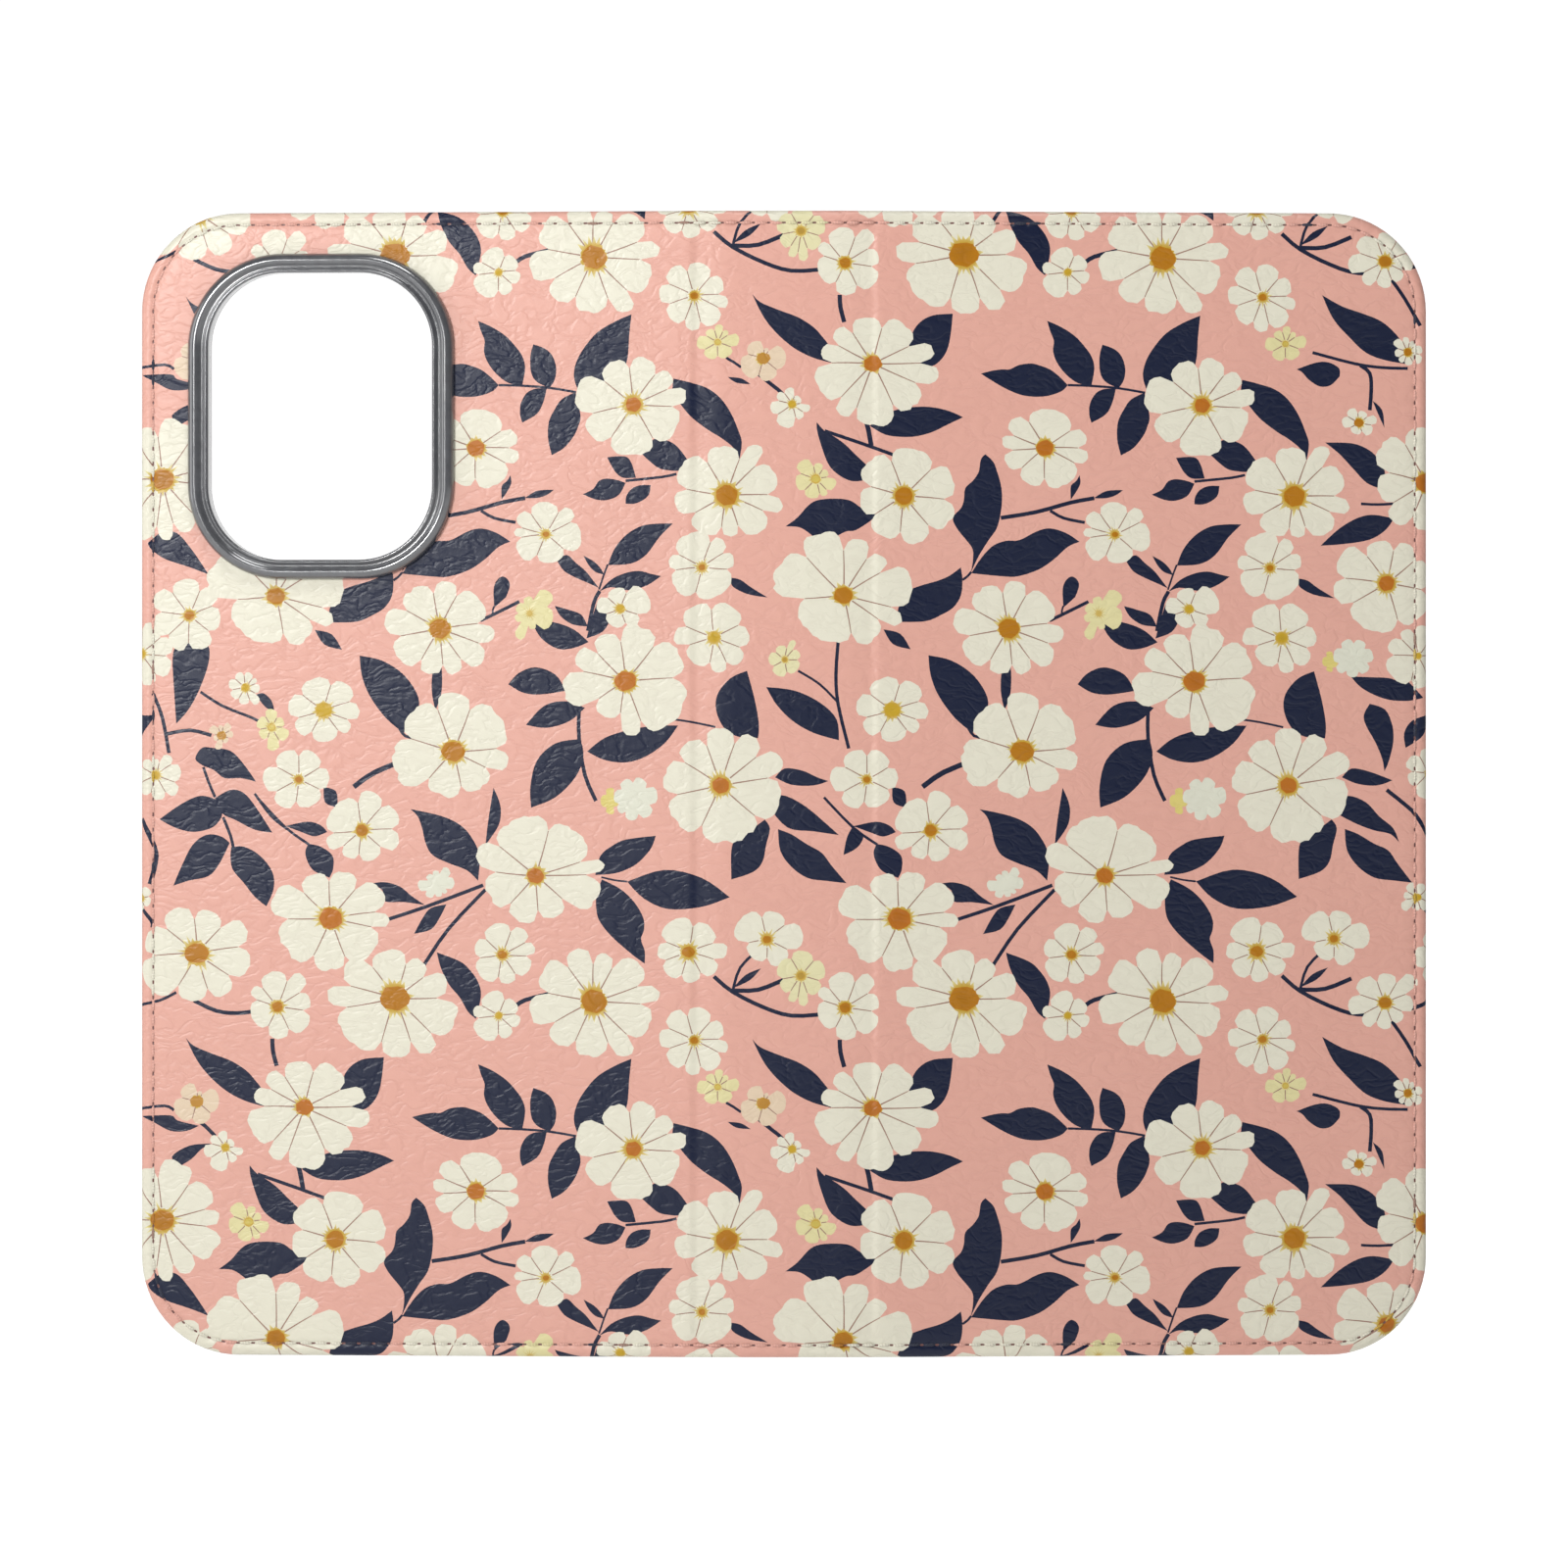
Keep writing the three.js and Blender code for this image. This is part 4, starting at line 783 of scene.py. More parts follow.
def stitch_mesh(name, stitches):
    """A row of stitches, each given by its two ends, its depth, its colour and the way it faces: -1 out, 1 in."""
    rings, around = 7, 8
    vertices, faces, colours, flat = [], [], [], []
    for i, (a, b, face, shade, way) in enumerate(stitches):
        run = (b - a) / np.linalg.norm(b - a)
        across = np.array([-run[1], run[0]])
        first = len(vertices)
        for r in range(rings):
            t = r / (rings - 1)
            along = (t - 0.5) * 1.72
            girth = max(0.12, math.sin(math.pi * (0.04 + 0.92 * t))) ** 0.45
            lift = face - 0.24 * (2 * t - 1) ** 4
            for k in range(around):
                angle = math.tau * k / around
                at = (a + b) / 2 + run * along + across * (0.2 * girth * math.cos(angle) + 0.03 * wobble(i, 3))
                vertices.append((at[0], way * (lift + 0.17 * girth * math.sin(angle)), at[1]))
                flat.append((along + 10 * i, 0.3 * k / around))
        for r in range(rings - 1):
            for k in range(around):
                j = (k + 1) % around
                quad = [first + r * around + k, first + r * around + j,
                        first + (r + 1) * around + j, first + (r + 1) * around + k]
                faces.append(quad if way > 0 else quad[::-1])
        for r in (0, rings - 1):
            cap = [first + r * around + k for k in range(around)]
            faces.append(cap if (r > 0) == (way > 0) else cap[::-1])
        colours += [shade] * ((rings - 1) * around * 4 + 2 * around)
    row = add_mesh(name, fold_up(*np.array(vertices).T), faces)
    set_colour(row.data, np.array(colours))
    set_flat_uv(row.data, np.array(flat))
    return row


def build_stitches(inner):
    """One row of stitches all round, on the outside or on the inside."""
    ends = [p + n * (CORNER - SEAM) for p, n in stations(1)]
    nexts = ends[1:] + ends[:1]
    middles = (np.array(ends) + np.array(nexts)) / 2
    shades = np.tile(THREAD_IN, (len(ends), 1))
    if not inner:
        shades = shades_of(painted, owner_of(painted, middles), middles) * 0.97 + 0.02
    face = np.where(inner & (middles[:, 0] > FOLD + CASH_START), CASH_DEPTH[1], FACE) - 0.1
    where = "inner" if inner else "outer"
    for side in (-1, 1):
        chosen = [(ends[i], nexts[i], face[i], shades[i], 1 if inner else -1)
                  for i in range(len(ends)) if middles[i][0] * side > 0]
        row = stitch_mesh(f"stitches_{where}_{'left' if side < 0 else 'right'}", chosen)
        give_body(row, side)
        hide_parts(*((f"seam_thread_back_{where}", f"seam_thread_spine_bottom_{where}") if side < 0
                           else (f"seam_thread_cover_{where}", f"seam_thread_spine_top_{where}")))
        yield row


def pocket_stitches():
    """The row that holds the card pockets, along three sides of the front one."""
    start, end = FOLD + POCKET_STARTS["front"] + 0.6, FOLD + POCKET_END - SEAM
    low, high = POCKET_LOW + SEAM, POCKET_HIGH - SEAM
    path = [np.array(q) for q in ((start, low), (end, low), (end, high), (start, high))]
    chosen = []
    for a, b in zip(path, path[1:]):
        count = round(float(np.linalg.norm(b - a)) / 2.1)
        spots = [a + (b - a) * i / count for i in range(count + 1)]
        chosen += [(p, q, POCKET_DEPTH["front"][1] - 0.02, THREAD_IN, 1) for p, q in zip(spots, spots[1:])]
    row = stitch_mesh("stitches_pocket", chosen)
    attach(row, "front_cover")
    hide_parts("pocket_seam_thread")
    return row


THREAD_IN = tint(226, 178, 166)

# The ring's section: distance in from its outer edge, and depth. It comes back through the panel as a collar.
RING_SECTION = [(0.0, -1.15), (0.03, -1.55), (0.1, -1.9), (0.25, -2.2), (0.45, -2.42), (0.7, -2.6), (1.0, -2.68),
                (1.28, -2.66), (1.5, -2.54), (1.68, -2.36), (1.85, -2.24), (2.05, -2.2), (2.22, -2.26), (2.36, -2.42),
                (2.48, -2.55), (2.62, -2.6), (2.76, -2.57), (2.87, -2.47), (2.93, -2.32), (2.95, -2.1), (2.95, 0.95),
                (2.9, 1.12), (2.75, 1.2), (1.95, 1.2), (1.8, 1.12), (1.75, 0.95), (1.75, -1.1), (0.4, -1.1)]


def build_ring():
    per_corner = 20
    inset = (RING[0] - WINDOW[0]) / 2
    outer = np.array(rounded_loop(CAMERA, RING, RING_CORNER, per_corner))
    inner = np.array(rounded_loop(CAMERA, WINDOW, WINDOW_CORNER, per_corner))
    vertices, faces = [], []
    around, deep = len(outer), len(RING_SECTION)
    for w, depth in RING_SECTION:
        line = outer + (inner - outer) * (w / inset)
        vertices += [fold_up(q[0], depth, q[1]) for q in line]
    for r in range(deep):
        for k in range(around):
            j, n = (k + 1) % around, (r + 1) % deep
            faces.append((r * around + k, r * around + j, n * around + j, n * around + k))
    ring = add_mesh("camera_ring_rounded", vertices, faces)
    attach(ring, "back_panel")
    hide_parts("camera_ring")
    return ring


# ---------------------------------------------------------------------------------------------
# Inside: lining, pockets and phone shell
# ---------------------------------------------------------------------------------------------
def inset_loop(loop, distance):
    """The loop moved inwards, or outwards for a negative distance, along the bisectors of its corners."""
    p = np.asarray(loop, float)
    before, after = p - np.roll(p, 1, 0), np.roll(p, -1, 0) - p
    before /= np.linalg.norm(before, axis=1)[:, None]
    after /= np.linalg.norm(after, axis=1)[:, None]
    normal = np.stack([-(before + after)[:, 1], (before + after)[:, 0]], 1)
    normal /= np.linalg.norm(normal, axis=1)[:, None]
    half_turn = np.clip(np.sum(normal * np.stack([-after[:, 1], after[:, 0]], 1), axis=1), 0.5, 1)
    return p + normal * (distance / half_turn)[:, None]


def sheet_mesh(name, loop, holes, outer_depth, inner_depth, edge, spacing=3.0, lines=(), dip=None):
    """A closed sheet with rounded edges: its outline, holes, the depths of its two faces and its edge radius."""
    rims = [(np.asarray(loop, float), 1)] + [(np.asarray(h, float), -1) for h in holes]
    plane = Plane()
    for rim, sign in rims:
        for step in (edge, edge + 0.8):
            plane.loop(inset_loop(rim, sign * step))
    low, high = rims[0][0].min(0), rims[0][0].max(0)
    for x in lines:
        plane.loop([(x, z) for z in np.linspace(low[1] + edge + 0.9, high[1] - edge - 0.9, 60)], closed=False)
    xs, zs = np.meshgrid(np.arange(low[0] + spacing, high[0], spacing), np.arange(low[1] + spacing, high[1], spacing))
    grid = np.stack([xs.ravel(), zs.ravel()], 1)
    inner = inside_loop(grid, inset_loop(rims[0][0], edge + 1.0))
    for rim, _ in rims[1:]:
        inner &= ~inside_loop(grid, inset_loop(rim, -(edge + 1.0)))
    if lines:
        inner &= np.min(np.abs(grid[:, :1] - np.array(lines)[None, :]), axis=1) > 0.5
    plane.dots(grid[inner])
    points, faces = plane.cut()
    middle = points[faces].mean(1)
    keep = inside_loop(middle, inset_loop(rims[0][0], edge * 0.98))
    for rim, _ in rims[1:]:
        keep &= ~inside_loop(middle, inset_loop(rim, -edge * 0.98))
    faces = faces[keep]
    count = len(points)

    def depth_of(p, base):
        return base if dip is None else base + dip(p)

    flat = [points, points]
    solid = [fold_up(points[:, 0], depth_of(points, inner_depth), points[:, 1]),
             fold_up(points[:, 0], depth_of(points, outer_depth), points[:, 1])]
    everything = [tuple(f) for f in faces[:, ::-1]] + [tuple(f) for f in faces + count]
    total = 2 * count
    for rim, sign in rims:
        rows = []
        for k in range(5):
            angle = math.pi * k / 4
            line = inset_loop(rim, sign * edge * (1 - math.sin(angle)))
            rise = (1 + math.cos(angle)) / 2
            depth = outer_depth + (inner_depth - outer_depth) * rise
            solid.append(fold_up(line[:, 0], depth_of(line, depth), line[:, 1]))
            flat.append(line)
            rows.append(total)
            total += len(line)
        for a, b in zip(rows, rows[1:]):
            for i in range(len(rim)):
                j = (i + 1) % len(rim)
                quad = (a + i, a + j, b + j, b + i)
                everything.append(quad if sign > 0 else quad[::-1])
    obj = add_mesh(name, np.concatenate(solid), everything)
    set_flat_uv(obj.data, np.concatenate(flat))
    return obj


def weld(obj):
    """Joins the faces of a sheet to its rounded edge."""
    work = bmesh.new()
    work.from_mesh(obj.data)
    bmesh.ops.remove_doubles(work, verts=work.verts, dist=0.000004)
    bmesh.ops.recalc_face_normals(work, faces=work.faces)
    work.to_mesh(obj.data)
    work.free()
    obj.data.shade_smooth()


LINING_IN = 0.7
LINING_DEPTH = (0.6, 1.2)
POCKET_LOW, POCKET_HIGH, POCKET_END = 29.0, 126.0, 74.6
POCKET_STARTS = {"rear": 19.0, "middle": 29.0, "front": 39.0}
POCKET_DEPTH = {"rear": (1.9, 2.3), "middle": (2.4, 2.8), "front": (2.9, 3.3)}


def half_outline(side):
    """The lining's outline on one side of the middle of the spine, anticlockwise."""
    loop = [p + n * (CORNER - LINING_IN) for p, n in stations(1)]
    loop = [q for q in loop if q[0] * side > 0.2]
    seam = [np.array([0.0, LINING_IN]), np.array([0.0, HEIGHT - LINING_IN])]
    return sorted(loop + seam,
            key=lambda q: math.atan2((q[1] - MIDDLE) / MIDDLE, (q[0] - side * HALF / 2) / (HALF / 2)))


def seam_dip(p):
    """The lining pulls in along the seam that runs through it."""
    d, _, count = outline_frame(p)
    to_hole = np.abs(count - np.round(count)) * 2.07
    return -0.16 * np.exp(-((d + SEAM) / 0.5) ** 2) * (0.5 + 0.5 * np.exp(-(to_hole / 0.45) ** 2))


def build_linings():
    hole = rounded_loop(CAMERA, np.array(WINDOW) + 2 * HOLE_MARGIN, WINDOW_CORNER + HOLE_MARGIN, 12)
    for side in (-1, 1):
        lines = [side * line for line in FOLD_LINES[::2]] + [side * 1.6, side * 3.4]
        lining = sheet_mesh("lining_left" if side < 0 else "lining_right", half_outline(side),
                [hole] if side < 0 else [],
                            *LINING_DEPTH, 0.18, 3.0, lines, seam_dip)
        weld(lining)
        give_body(lining, side)
        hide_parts(*(("lining_back", "fold_lining_back", "lining_spine") if side < 0
                              else ("fold_lining_cover", "lining_cover")))
        yield lining


def pocket_outline(start, end, low, high, corner, notch=0.0):
    """A pocket with two rounded free-edge corners and a thumb notch in the side that faces the spine."""
    steps = 8
    loop = [(start + 0.4, low), (end - corner, low)]
    loop += [(end - corner + corner * math.sin(a), low + corner - corner * math.cos(a))
             for a in np.linspace(0, math.pi / 2, steps)[1:-1]]
    loop += [(end, low + corner), (end, high - corner)]
    loop += [(end - corner + corner * math.cos(a), high - corner + corner * math.sin(a))
             for a in np.linspace(0, math.pi / 2, steps)[1:-1]]
    loop += [(end - corner, high), (start + 0.4, high), (start, high - 0.4)]
    if notch:
        loop += [(start, MIDDLE + notch + 1.2), (start + 0.25, MIDDLE + notch + 0.3)]
        loop += [(start + notch * math.sin(a), MIDDLE + notch * math.cos(a)) for a in np.linspace(0.12,
                math.pi - 0.12, 17)]
        loop += [(start + 0.25, MIDDLE - notch - 0.3), (start, MIDDLE - notch - 1.2)]
    return loop + [(start, low + 0.4)]


def build_pockets():
    cash = sheet_mesh("cash_pocket_leather",
            pocket_outline(FOLD + CASH_START, HALF - LINING_IN, LINING_IN, HEIGHT - LINING_IN,
                                                             CORNER - LINING_IN, 0), [], *CASH_DEPTH, 0.2)
    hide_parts("cash_pocket")
    made = [cash]
    for name, start in POCKET_STARTS.items():
        pocket = sheet_mesh(f"card_pocket_{name}_leather",
                pocket_outline(FOLD + start, FOLD + POCKET_END, POCKET_LOW, POCKET_HIGH,
                                                                    3.0, 9.0), [],
                            *POCKET_DEPTH[name], 0.17)
        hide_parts(f"card_pocket_{name}")
        made.append(pocket)
    for piece in made:
        weld(piece)
        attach(piece, "front_cover")
    return made


SHELL_SIZE, SHELL_CORNER, SHELL_U = (73.6, 149.8), 10.8, 39.3
SHELL_BASE, CAVITY_FLOOR, SHELL_RIM = 1.6, 2.8, 11.2
NOTCH_FLOOR, LIP_OVERHANG, LIP_LENGTH = 5.0, 0.8, 18.0
# Openings in the shell's wall: which way the wall faces, the middle of the opening along it, and its length.
NOTCHES = [((0, -1), -FOLD - SHELL_U, 44.0), ((-1, 0), 98.0, 46.0), ((1, 0), 106.0, 34.0)]


def shell_stations():
    """Round the shell's wall: skeleton point, outward direction, rim height and how much of the lip there is."""
    centre = np.array([-FOLD - SHELL_U, MIDDLE])
    core = np.array(SHELL_SIZE) / 2 - SHELL_CORNER
    out = []
    for k in range(4):
        facing = np.array([(0, -1), (1, 0), (0, 1), (-1, 0)][k])
        along = np.array([(1, 0), (0, 1), (-1, 0), (0, -1)][k])
        axis = 0 if along[0] else 1
        reach = core[axis]
        spots = set(np.linspace(-reach, reach, 25))
        lip_end = reach + SHELL_CORNER - LIP_LENGTH
        spots |= {sign * (lip_end + d) for sign in (-1, 1) for d in (-1.0, -0.7, -0.35, 0.0)}
        cuts = [(m - centre[axis], n / 2) for f, m, n in NOTCHES if tuple(facing) == f]
        for m, half in cuts:
            spots |= {sign * (half + d) + m * along[axis] for sign in (-1, 1) for d in (-1.6, -1.2, -0.9, -0.6, -0.3,
                    0.0)}
        for t in sorted(spots):
            rim = SHELL_RIM
            for m, half in cuts:
                depth_in = half - abs(t * along[axis] - m)
                rim -= (SHELL_RIM - NOTCH_FLOOR) * float(ease(depth_in / 1.5))
            out.append((centre + facing * core[1 - axis] + along * t, facing, rim,
                    float(ease((abs(t) - lip_end + 1.0) / 1.0))))
        for a in np.linspace(0, math.pi / 2, 13)[1:-1]:
            out.append((centre + facing * core[1 - axis] + along * reach, facing * math.cos(a) + along * math.sin(a),
                    SHELL_RIM, 1.0))
    return out


def build_shell():
    window = rounded_loop(CAMERA, np.array(WINDOW) + 2, WINDOW_CORNER + 1, 12)
    floor_loop = rounded_loop((-FOLD - SHELL_U, MIDDLE), np.array(SHELL_SIZE) - 1.4, SHELL_CORNER - 0.7, 12)
    floor = sheet_mesh("phone_shell_moulded", floor_loop, [window], SHELL_BASE, CAVITY_FLOOR, 0.25)
    weld(floor)
    wall, faces, around = [], [], shell_stations()
    for skeleton, out, rim, lip in around:
        hook = LIP_OVERHANG * lip
        section = [(-0.9, SHELL_BASE + 0.02), (-0.35, SHELL_BASE + 0.05), (-0.08, SHELL_BASE + 0.25),
                (0.0, SHELL_BASE + 0.6),
                   (0.0, rim - 0.5), (-0.06, rim - 0.2), (-0.24, rim - 0.04), (-0.5, rim), (-0.75 - hook, rim),
                   (-1.0 - hook, rim - 0.05), (-1.14 - hook, rim - 0.18), (-1.2 - hook, rim - 0.34),
                   (-1.16 - hook, rim - 0.55), (-1.2, rim - 0.55 - 0.6 * lip), (-1.2, CAVITY_FLOOR + 0.9),
                   (-1.3, CAVITY_FLOOR + 0.45), (-1.55, CAVITY_FLOOR + 0.14), (-2.0, CAVITY_FLOOR + 0.01), (-2.0,
                    SHELL_BASE + 0.3)]
        wall += [(*(skeleton + out * (SHELL_CORNER + offset)), depth) for offset, depth in section]
    deep, count = len(section), len(around)
    for i in range(count):
        for r in range(deep):
            j, n = (i + 1) % count, (r + 1) % deep
            faces.append((i * deep + r, j * deep + r, j * deep + n, i * deep + n))
    wall = np.array(wall)
    rim = add_mesh("shell_wall", fold_up(wall[:, 0], wall[:, 2], wall[:, 1]), faces)
    set_flat_uv(rim.data, wall[:, :2])
    join = bmesh.new()
    join.from_mesh(floor.data)
    join.from_mesh(rim.data)
    join.to_mesh(floor.data)
    join.free()
    floor.data.shade_smooth()
    bpy.data.objects.remove(rim)
    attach(floor, "back_panel")
    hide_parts("phone_shell")
    return floor


# ---------------------------------------------------------------------------------------------
# Materials
# ---------------------------------------------------------------------------------------------
class Paint:
    """A material built node by node around one principled shader."""

    def __init__(self, name, **constants):
        self.material = bpy.data.materials.new(name)
        self.material.use_nodes = True
        self.nodes, self.links = self.material.node_tree.nodes, self.material.node_tree.links
        self.shader = self.nodes["Principled BSDF"]
        for socket, value in constants.items():
            self.shader.inputs[socket.replace("_", " ")].default_value = value

    def add(self, kind, inputs=None, **settings):
        node = self.nodes.new(kind)
        for key, value in settings.items():
            setattr(node, key, value)
        for key, value in (inputs or {}).items():
            if isinstance(value, bpy.types.NodeSocket):
                self.links.new(value, node.inputs[key])
            else:
                node.inputs[key].default_value = value
        return node

    def place(self, scale, source="Object"):
        if source == "flat":
            start = self.add("ShaderNodeUVMap", uv_map="flat").outputs["UV"]
        else:
            start = self.add("ShaderNodeTexCoord").outputs[source]
        return self.add("ShaderNodeMapping", {"Vector": start, "Scale": scale}).outputs["Vector"]

    def noise(self, vector, scale, detail=3.0, roughness=0.55, distortion=0.0):
        return self.add("ShaderNodeTexNoise", {"Vector": vector, "Scale": scale, "Detail": detail,
                                               "Roughness": roughness, "Distortion": distortion}).outputs["Fac"]

    def band(self, value, low, high, to_low=0.0, to_high=1.0):
        return self.add("ShaderNodeMapRange", {"Value": value, "From Min": low, "From Max": high,
                                               "To Min": to_low, "To Max": to_high}).outputs["Result"]

    def sum(self, a, b, operation="ADD"):
        return self.add("ShaderNodeMath", {0: a, 1: b}, operation=operation).outputs[0]

    def mix(self, factor, a, b, blend="MIX"):
        node = self.add("ShaderNodeMix", data_type="RGBA", blend_type=blend)
        for index, value in ((0, factor), (6, a), (7, b)):
            if isinstance(value, bpy.types.NodeSocket):
                self.links.new(value, node.inputs[index])
            else:
                node.inputs[index].default_value = value
        return node.outputs[2]

    def finish(self, colour=None, roughness=None, height=None, strength=0.3, distance=0.0002):
        if colour is not None:
            self.links.new(colour, self.shader.inputs["Base Color"])
        if roughness is not None:
            self.links.new(roughness, self.shader.inputs["Roughness"])
        if height is not None:
            bump = self.add("ShaderNodeBump", {"Height": height, "Strength": strength, "Distance": distance})
            self.links.new(bump.outputs["Normal"], self.shader.inputs["Normal"])
        return self.material


def rgba(colour):
    return (*[float(c) for c in colour], 1.0)


def wrinkles(p, flat, across, along):
    """Soft leather folds: short ridges where a stretched, bent noise passes its middle."""
    drift = p.add("ShaderNodeTexNoise", {"Vector": flat, "Scale": 22.0, "Detail": 1.0}).outputs["Color"]
    push = p.add("ShaderNodeVectorMath", {0: drift, 3: 0.035}, operation="SCALE").outputs[0]
    bent = p.add("ShaderNodeVectorMath", {0: flat, 1: push}).outputs[0]
    wide = p.add("ShaderNodeMapping", {"Vector": bent, "Scale": (across, along, 1.0)}).outputs["Vector"]
    swell = p.noise(wide, 1.0, 2.0, 0.45)
    return p.band(p.sum(p.sum(swell, 0.5, "SUBTRACT"), 0.0, "ABSOLUTE"), 0.0, 0.09)


def printed_leather():
    p = Paint("printed_leather", Specular_IOR_Level=0.26)
    flat = p.place((1, 1, 1), "flat")
    folds = wrinkles(p, flat, 34.0, 60.0)
    fine = p.noise(flat, 420.0, 3.0, 0.6)
    soft = p.noise(flat, 75.0, 3.0, 0.5)
    patches = p.noise(flat, 5.0, 2.0, 0.5)
    height = p.sum(p.sum(folds, p.band(patches, 0.3, 0.7, 0.55, 1.0), "MULTIPLY"),
                   p.sum(p.sum(fine, 0.12, "MULTIPLY"), p.sum(soft, 0.8, "MULTIPLY")))
    shade = p.add("ShaderNodeVertexColor", layer_name="print").outputs["Color"]
    # Painted shade: the print is darkened along the fold creases, where the bump dips.
    colour_with_painted_shade = p.mix(1.0, shade, p.mix(folds, (0.975, 0.97, 0.97, 1), (1.0, 1.0, 1.0, 1)), "MULTIPLY")
    colour_with_painted_shade = p.mix(1.0, colour_with_painted_shade, p.mix(p.band(soft, 0.3, 0.7), (0.985, 0.98, 0.98, 1), (1.01, 1.01, 1.01, 1)),
            "MULTIPLY")
    rough = p.band(p.sum(fine, patches), 0.7, 1.3, 0.34, 0.42)
    return p.finish(colour_with_painted_shade, rough, height, 0.27, 0.0002)


def thread_paint():
    p = Paint("sewing_thread", Specular_IOR_Level=0.2, Sheen_Weight=0.15, Sheen_Roughness=0.4)
    flat = p.place((1, 1, 1), "flat")
    twist = p.add("ShaderNodeTexWave", {"Vector": p.add("ShaderNodeMapping", {
        "Vector": flat, "Rotation": (0, 0, 0.7), "Scale": (100.0, 100.0, 1.0)}).outputs["Vector"],
        "Scale": 1.1, "Distortion": 0.6}, wave_type="BANDS").outputs["Fac"]
    shade = p.add("ShaderNodeVertexColor", layer_name="print").outputs["Color"]
    # Painted shade: the thread is darker in the grooves of its twist, where the bump sinks.
    colour_with_painted_shade = p.mix(1.0, shade, p.mix(twist, (0.86, 0.85, 0.85, 1), (1.04, 1.03, 1.03, 1)), "MULTIPLY")
    return p.finish(colour_with_painted_shade, p.band(twist, 0, 1, 0.62, 0.78), twist, 0.5, 0.00006)


def glossy_ring():
    p = Paint("ring_plastic", Specular_IOR_Level=0.9, Coat_Weight=0.6, Coat_Roughness=0.07)
    spot = p.place((1, 1, 1))
    haze = p.noise(spot, 900.0, 4.0, 0.6)
    rubs = p.noise(p.place((900.0, 900.0, 160.0)), 1.0, 3.0, 0.7)
    colour = p.mix(p.band(haze, 0.3, 0.7), rgba(tint(60, 61, 64)), rgba(tint(70, 71, 74)))
    rough = p.band(p.sum(haze, rubs), 0.7, 1.3, 0.16, 0.27)
    return p.finish(colour, rough, p.sum(haze, rubs), 0.05, 0.00004)


def microfibre():
    p = Paint("microfibre_lining", Specular_IOR_Level=0.15, Sheen_Weight=0.35, Sheen_Roughness=0.45)
    flat = p.place((1, 1, 1), "flat")
    nap = p.noise(flat, 620.0, 3.0, 0.65)
    brushed = p.noise(p.place((22.0, 9.0, 1.0), "flat"), 1.0, 3.0, 0.5, 0.6)
    colour = p.mix(p.band(p.sum(nap, brushed), 0.75, 1.3), rgba(tint(52, 51, 54)), rgba(tint(68, 66, 70)))
    return p.finish(colour, p.band(nap, 0.3, 0.7, 0.86, 0.97), p.sum(nap, p.sum(brushed, 0.5, "MULTIPLY")), 0.5,
            0.00015)


def pocket_leather():
    p = Paint("pocket_leather", Specular_IOR_Level=0.35)
    flat = p.place((1, 1, 1), "flat")
    pebbles = p.add("ShaderNodeTexVoronoi", {"Vector": flat, "Scale": 125.0}, feature="SMOOTH_F1").outputs["Distance"]
    fine = p.noise(flat, 380.0)
    wear = p.noise(flat, 7.0, 4.0, 0.6)
    colour = p.mix(p.band(p.sum(pebbles, wear), 0.6, 1.4), rgba(tint(70, 65, 67)), rgba(tint(92, 87, 88)))
    rough = p.band(p.sum(wear, fine), 0.7, 1.3, 0.42, 0.62)
    return p.finish(colour, rough, p.sum(pebbles, p.sum(fine, 0.4, "MULTIPLY")), 0.45, 0.0002)


def moulded_plastic():
    p = Paint("shell_plastic", Specular_IOR_Level=0.45)
    spot = p.place((1, 1, 1))
    spark = p.noise(spot, 2600.0, 2.0, 0.7)
    flow = p.noise(spot, 30.0, 3.0, 0.6, 0.8)
    colour = p.mix(p.band(flow, 0.3, 0.7), rgba(tint(42, 42, 45)), rgba(tint(52, 52, 55)))
    return p.finish(colour, p.band(p.sum(spark, flow), 0.7, 1.3, 0.38, 0.52), spark, 0.3, 0.00006)


def pressed_board():
    p = Paint("stiffener_board", Specular_IOR_Level=0.2)
    fibres = p.noise(p.place((90.0, 90.0, 700.0)), 1.0, 4.0, 0.65, 1.2)
    flecks = p.noise(p.place((1, 1, 1)), 500.0, 3.0, 0.6)
    colour = p.mix(p.band(p.sum(fibres, flecks), 0.7, 1.3), rgba(tint(128, 120, 108)), rgba(tint(160, 152, 140)))
    return p.finish(colour, p.band(fibres, 0.3, 0.7, 0.82, 0.95), p.sum(fibres, flecks), 0.5, 0.0001)


def adhesive_sheet():
    p = Paint("bond_sheet", Specular_IOR_Level=0.4, Subsurface_Weight=0.1, Subsurface_Scale=0.001)
    cloudy = p.noise(p.place((1, 1, 1)), 70.0, 4.0, 0.6)
    colour = p.mix(p.band(cloudy, 0.3, 0.7), rgba(tint(206, 201, 186)), rgba(tint(224, 220, 206)))
    return p.finish(colour, p.band(cloudy, 0.3, 0.7, 0.5, 0.75), cloudy, 0.2, 0.0001)


def plated_steel():
    p = Paint("nickel_steel", Metallic=1.0)
    lines = p.noise(p.place((3000.0, 3000.0, 40.0)), 1.0, 3.0, 0.6)
    smudge = p.noise(p.place((1, 1, 1)), 90.0, 3.0, 0.6)
    colour = p.mix(p.band(smudge, 0.3, 0.7), rgba(tint(178, 180, 182)), rgba(tint(198, 200, 200)))
    return p.finish(colour, p.band(p.sum(lines, smudge), 0.7, 1.3, 0.22, 0.42), lines, 0.1, 0.00003)


PAPER_GAP = 0.0004               # from the foot of the case down to the paper
WORLD_LIGHT = 0.06
LAMPS = [                        # name, place and disc size in metres, watts
    ("key", (-0.22, -0.51, 0.23), 0.14, 2.4),
    ("side", (-1.0, -0.35, 0.3), 0.7, 3.2),
    ("top", (0.08, -0.36, 0.72), 0.3, 3.0),
]


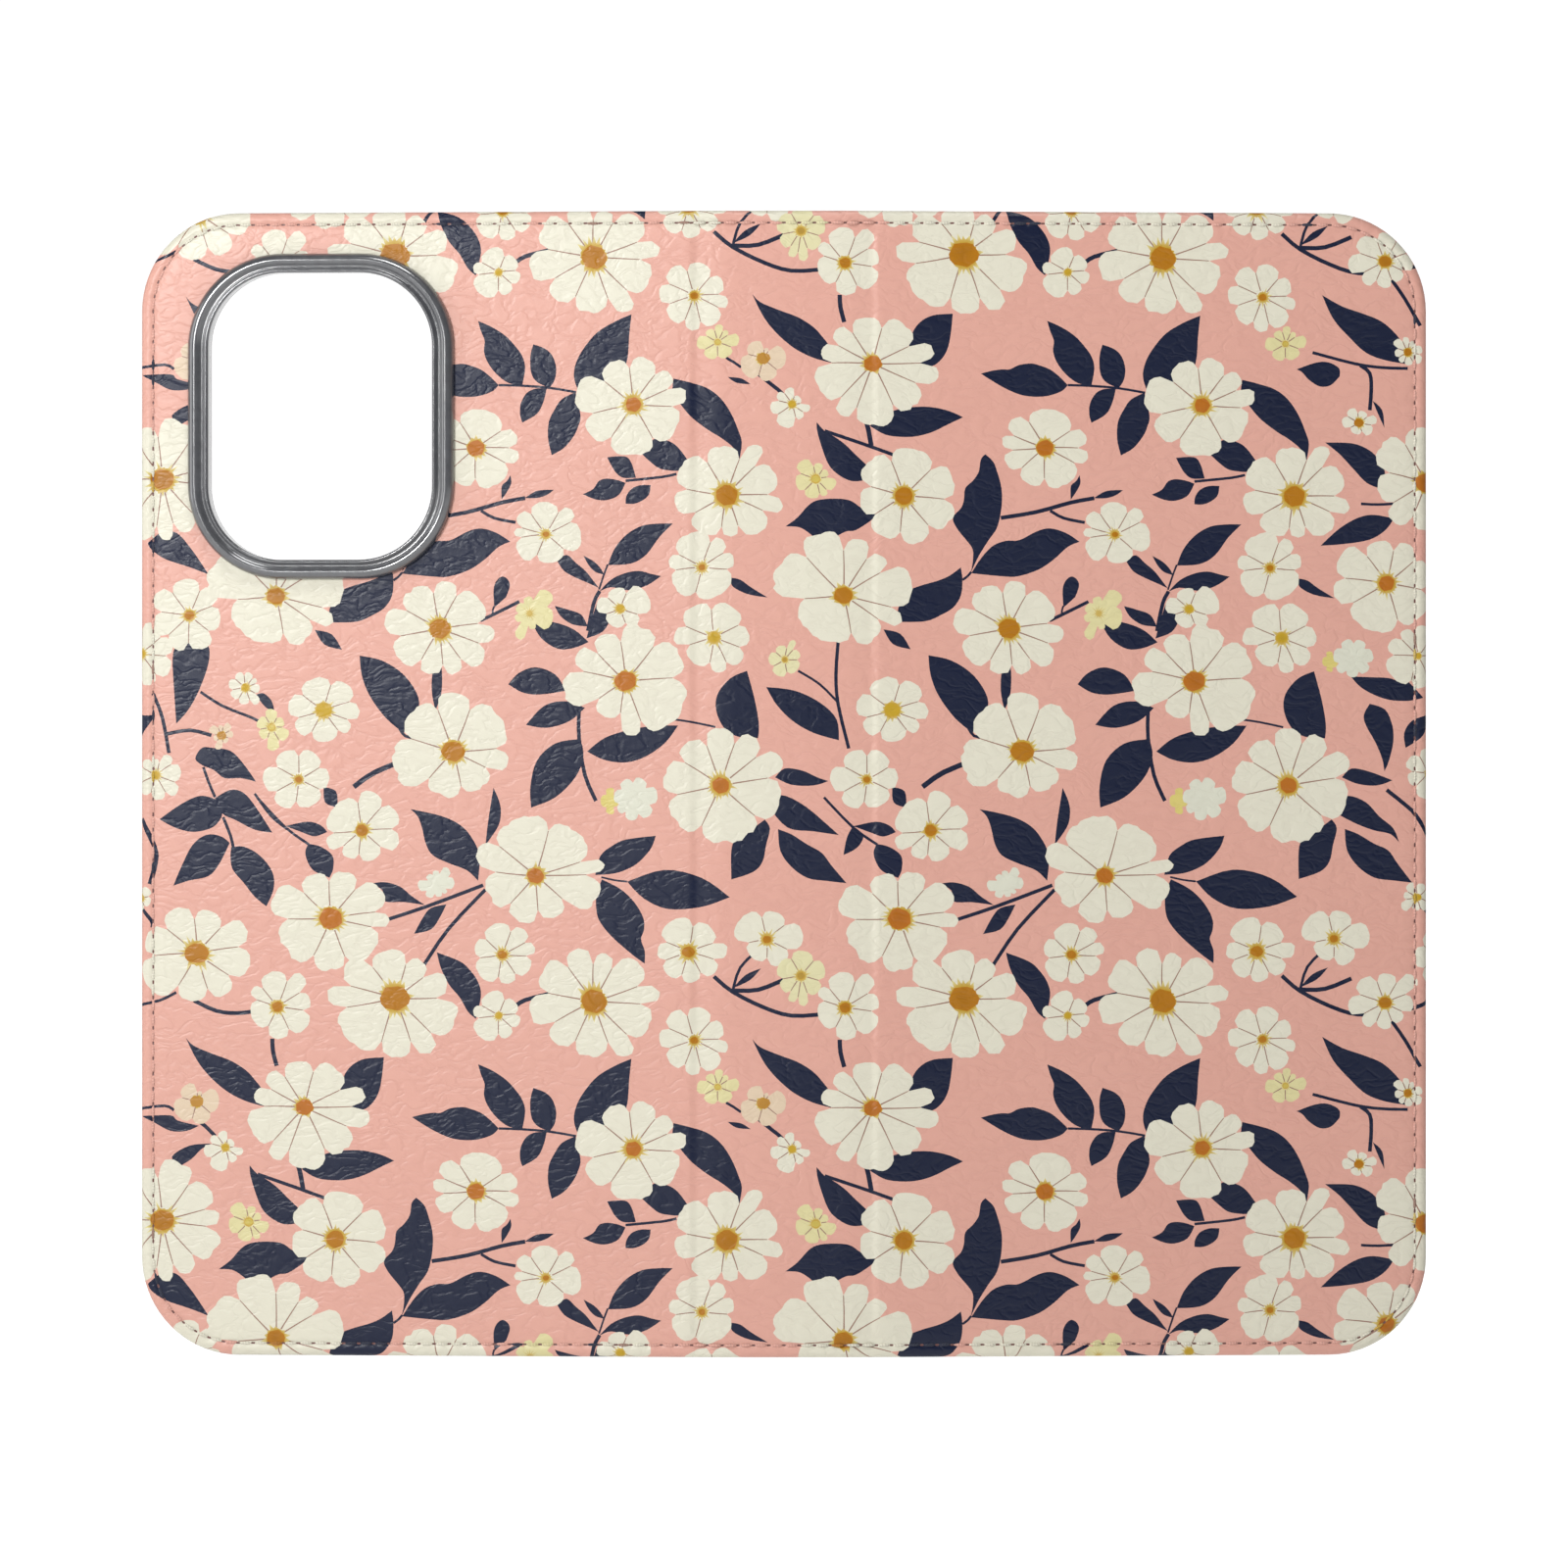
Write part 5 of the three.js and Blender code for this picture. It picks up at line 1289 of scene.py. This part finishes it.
def studio():
    floor = bpy.data.meshes.new("studio_sweep")
    rows = [(-3.0, 0.0), (1.1, 0.0)]
    rows += [(1.1 + 0.9 * math.sin(a), 0.9 - 0.9 * math.cos(a)) for a in np.radians(range(10, 91, 10))]
    rows += [(2.0, 3.6)]
    vertices = [(x, y, z - PAPER_GAP) for y, z in rows for x in (-3.2, 3.2)]
    floor.from_pydata(vertices, [], [(2 * i, 2 * i + 1, 2 * i + 3, 2 * i + 2) for i in range(len(rows) - 1)])
    floor.shade_smooth()
    sweep = bpy.data.objects.new("studio_sweep", floor)
    bpy.context.scene.collection.objects.link(sweep)
    p = Paint("studio_paper", Specular_IOR_Level=0.1, Emission_Color=(1, 1, 1, 1), Emission_Strength=0.95)
    grey = p.noise(p.place((1, 1, 1)), 3.0)
    floor.materials.append(p.finish(p.mix(grey, (0.28, 0.28, 0.28, 1), (0.31, 0.31, 0.31, 1)),
            p.band(grey, 0, 1, 0.8, 0.9)))
    world = bpy.data.worlds.new("studio")
    world.use_nodes = True
    background = world.node_tree.nodes["Background"]
    background.inputs["Color"].default_value = (1.0, 1.0, 1.0, 1.0)
    # Dim as a light, and white where it is seen past the edge of the paper.
    rays = world.node_tree.nodes.new("ShaderNodeLightPath")
    seen = world.node_tree.nodes.new("ShaderNodeMapRange")
    seen.inputs["To Min"].default_value, seen.inputs["To Max"].default_value = WORLD_LIGHT, 1.0
    world.node_tree.links.new(rays.outputs["Is Camera Ray"], seen.inputs["Value"])
    world.node_tree.links.new(seen.outputs["Result"], background.inputs["Strength"])
    bpy.context.scene.world = world

    def lamp(name, at, size, power):
        light = bpy.data.lights.new(name, "AREA")
        light.shape, light.size, light.energy = "DISK", size, power
        obj = bpy.data.objects.new(name, light)
        obj.location = at
        obj.rotation_euler = (Vector((0, -0.008, MIDDLE * MM)) - Vector(at)).to_track_quat("-Z", "Y").to_euler()
        bpy.context.scene.collection.objects.link(obj)

    for setting in LAMPS:
        lamp(*setting)


def camera():
    lens = bpy.data.cameras.new("camera")
    away, frame_width = 1.5, 0.212
    lens.sensor_width = 36.0
    lens.lens = lens.sensor_width * away / frame_width
    lens.clip_end = 20
    eye = bpy.data.objects.new("camera", lens)
    target = Vector(on_case(0, 0, MIDDLE))
    eye.location = target + away * Vector((math.sin(OPEN_ANGLE), -math.cos(OPEN_ANGLE), 0))
    eye.rotation_euler = (target - eye.location).to_track_quat("-Z", "Y").to_euler()
    bpy.context.scene.collection.objects.link(eye)
    bpy.context.scene.camera = eye


leather, thread = printed_leather(), thread_paint()
for piece in build_skin():
    piece.data.materials.append(leather)
for piece in [*build_stitches(False), *build_stitches(True), pocket_stitches()]:
    piece.data.materials.append(thread)
build_ring().data.materials.append(glossy_ring())
fibre, hide = microfibre(), pocket_leather()
for piece in build_linings():
    piece.data.materials.append(fibre)
for piece in build_pockets():
    piece.data.materials.append(hide)
build_shell().data.materials.append(moulded_plastic())
board, steel = pressed_board(), plated_steel()
for node, paint in {"stiffener_back": board, "stiffener_spine": board, "stiffener_cover": board,
                    "shell_bond_sheet": adhesive_sheet(), "keeper_plate_lower": steel, "keeper_plate_upper": steel,
                    "magnet_lower": steel, "magnet_upper": steel}.items():
    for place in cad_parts[node].material_slots:
        place.material = paint
studio()
camera()
bpy.context.scene.view_settings.view_transform = "Standard"
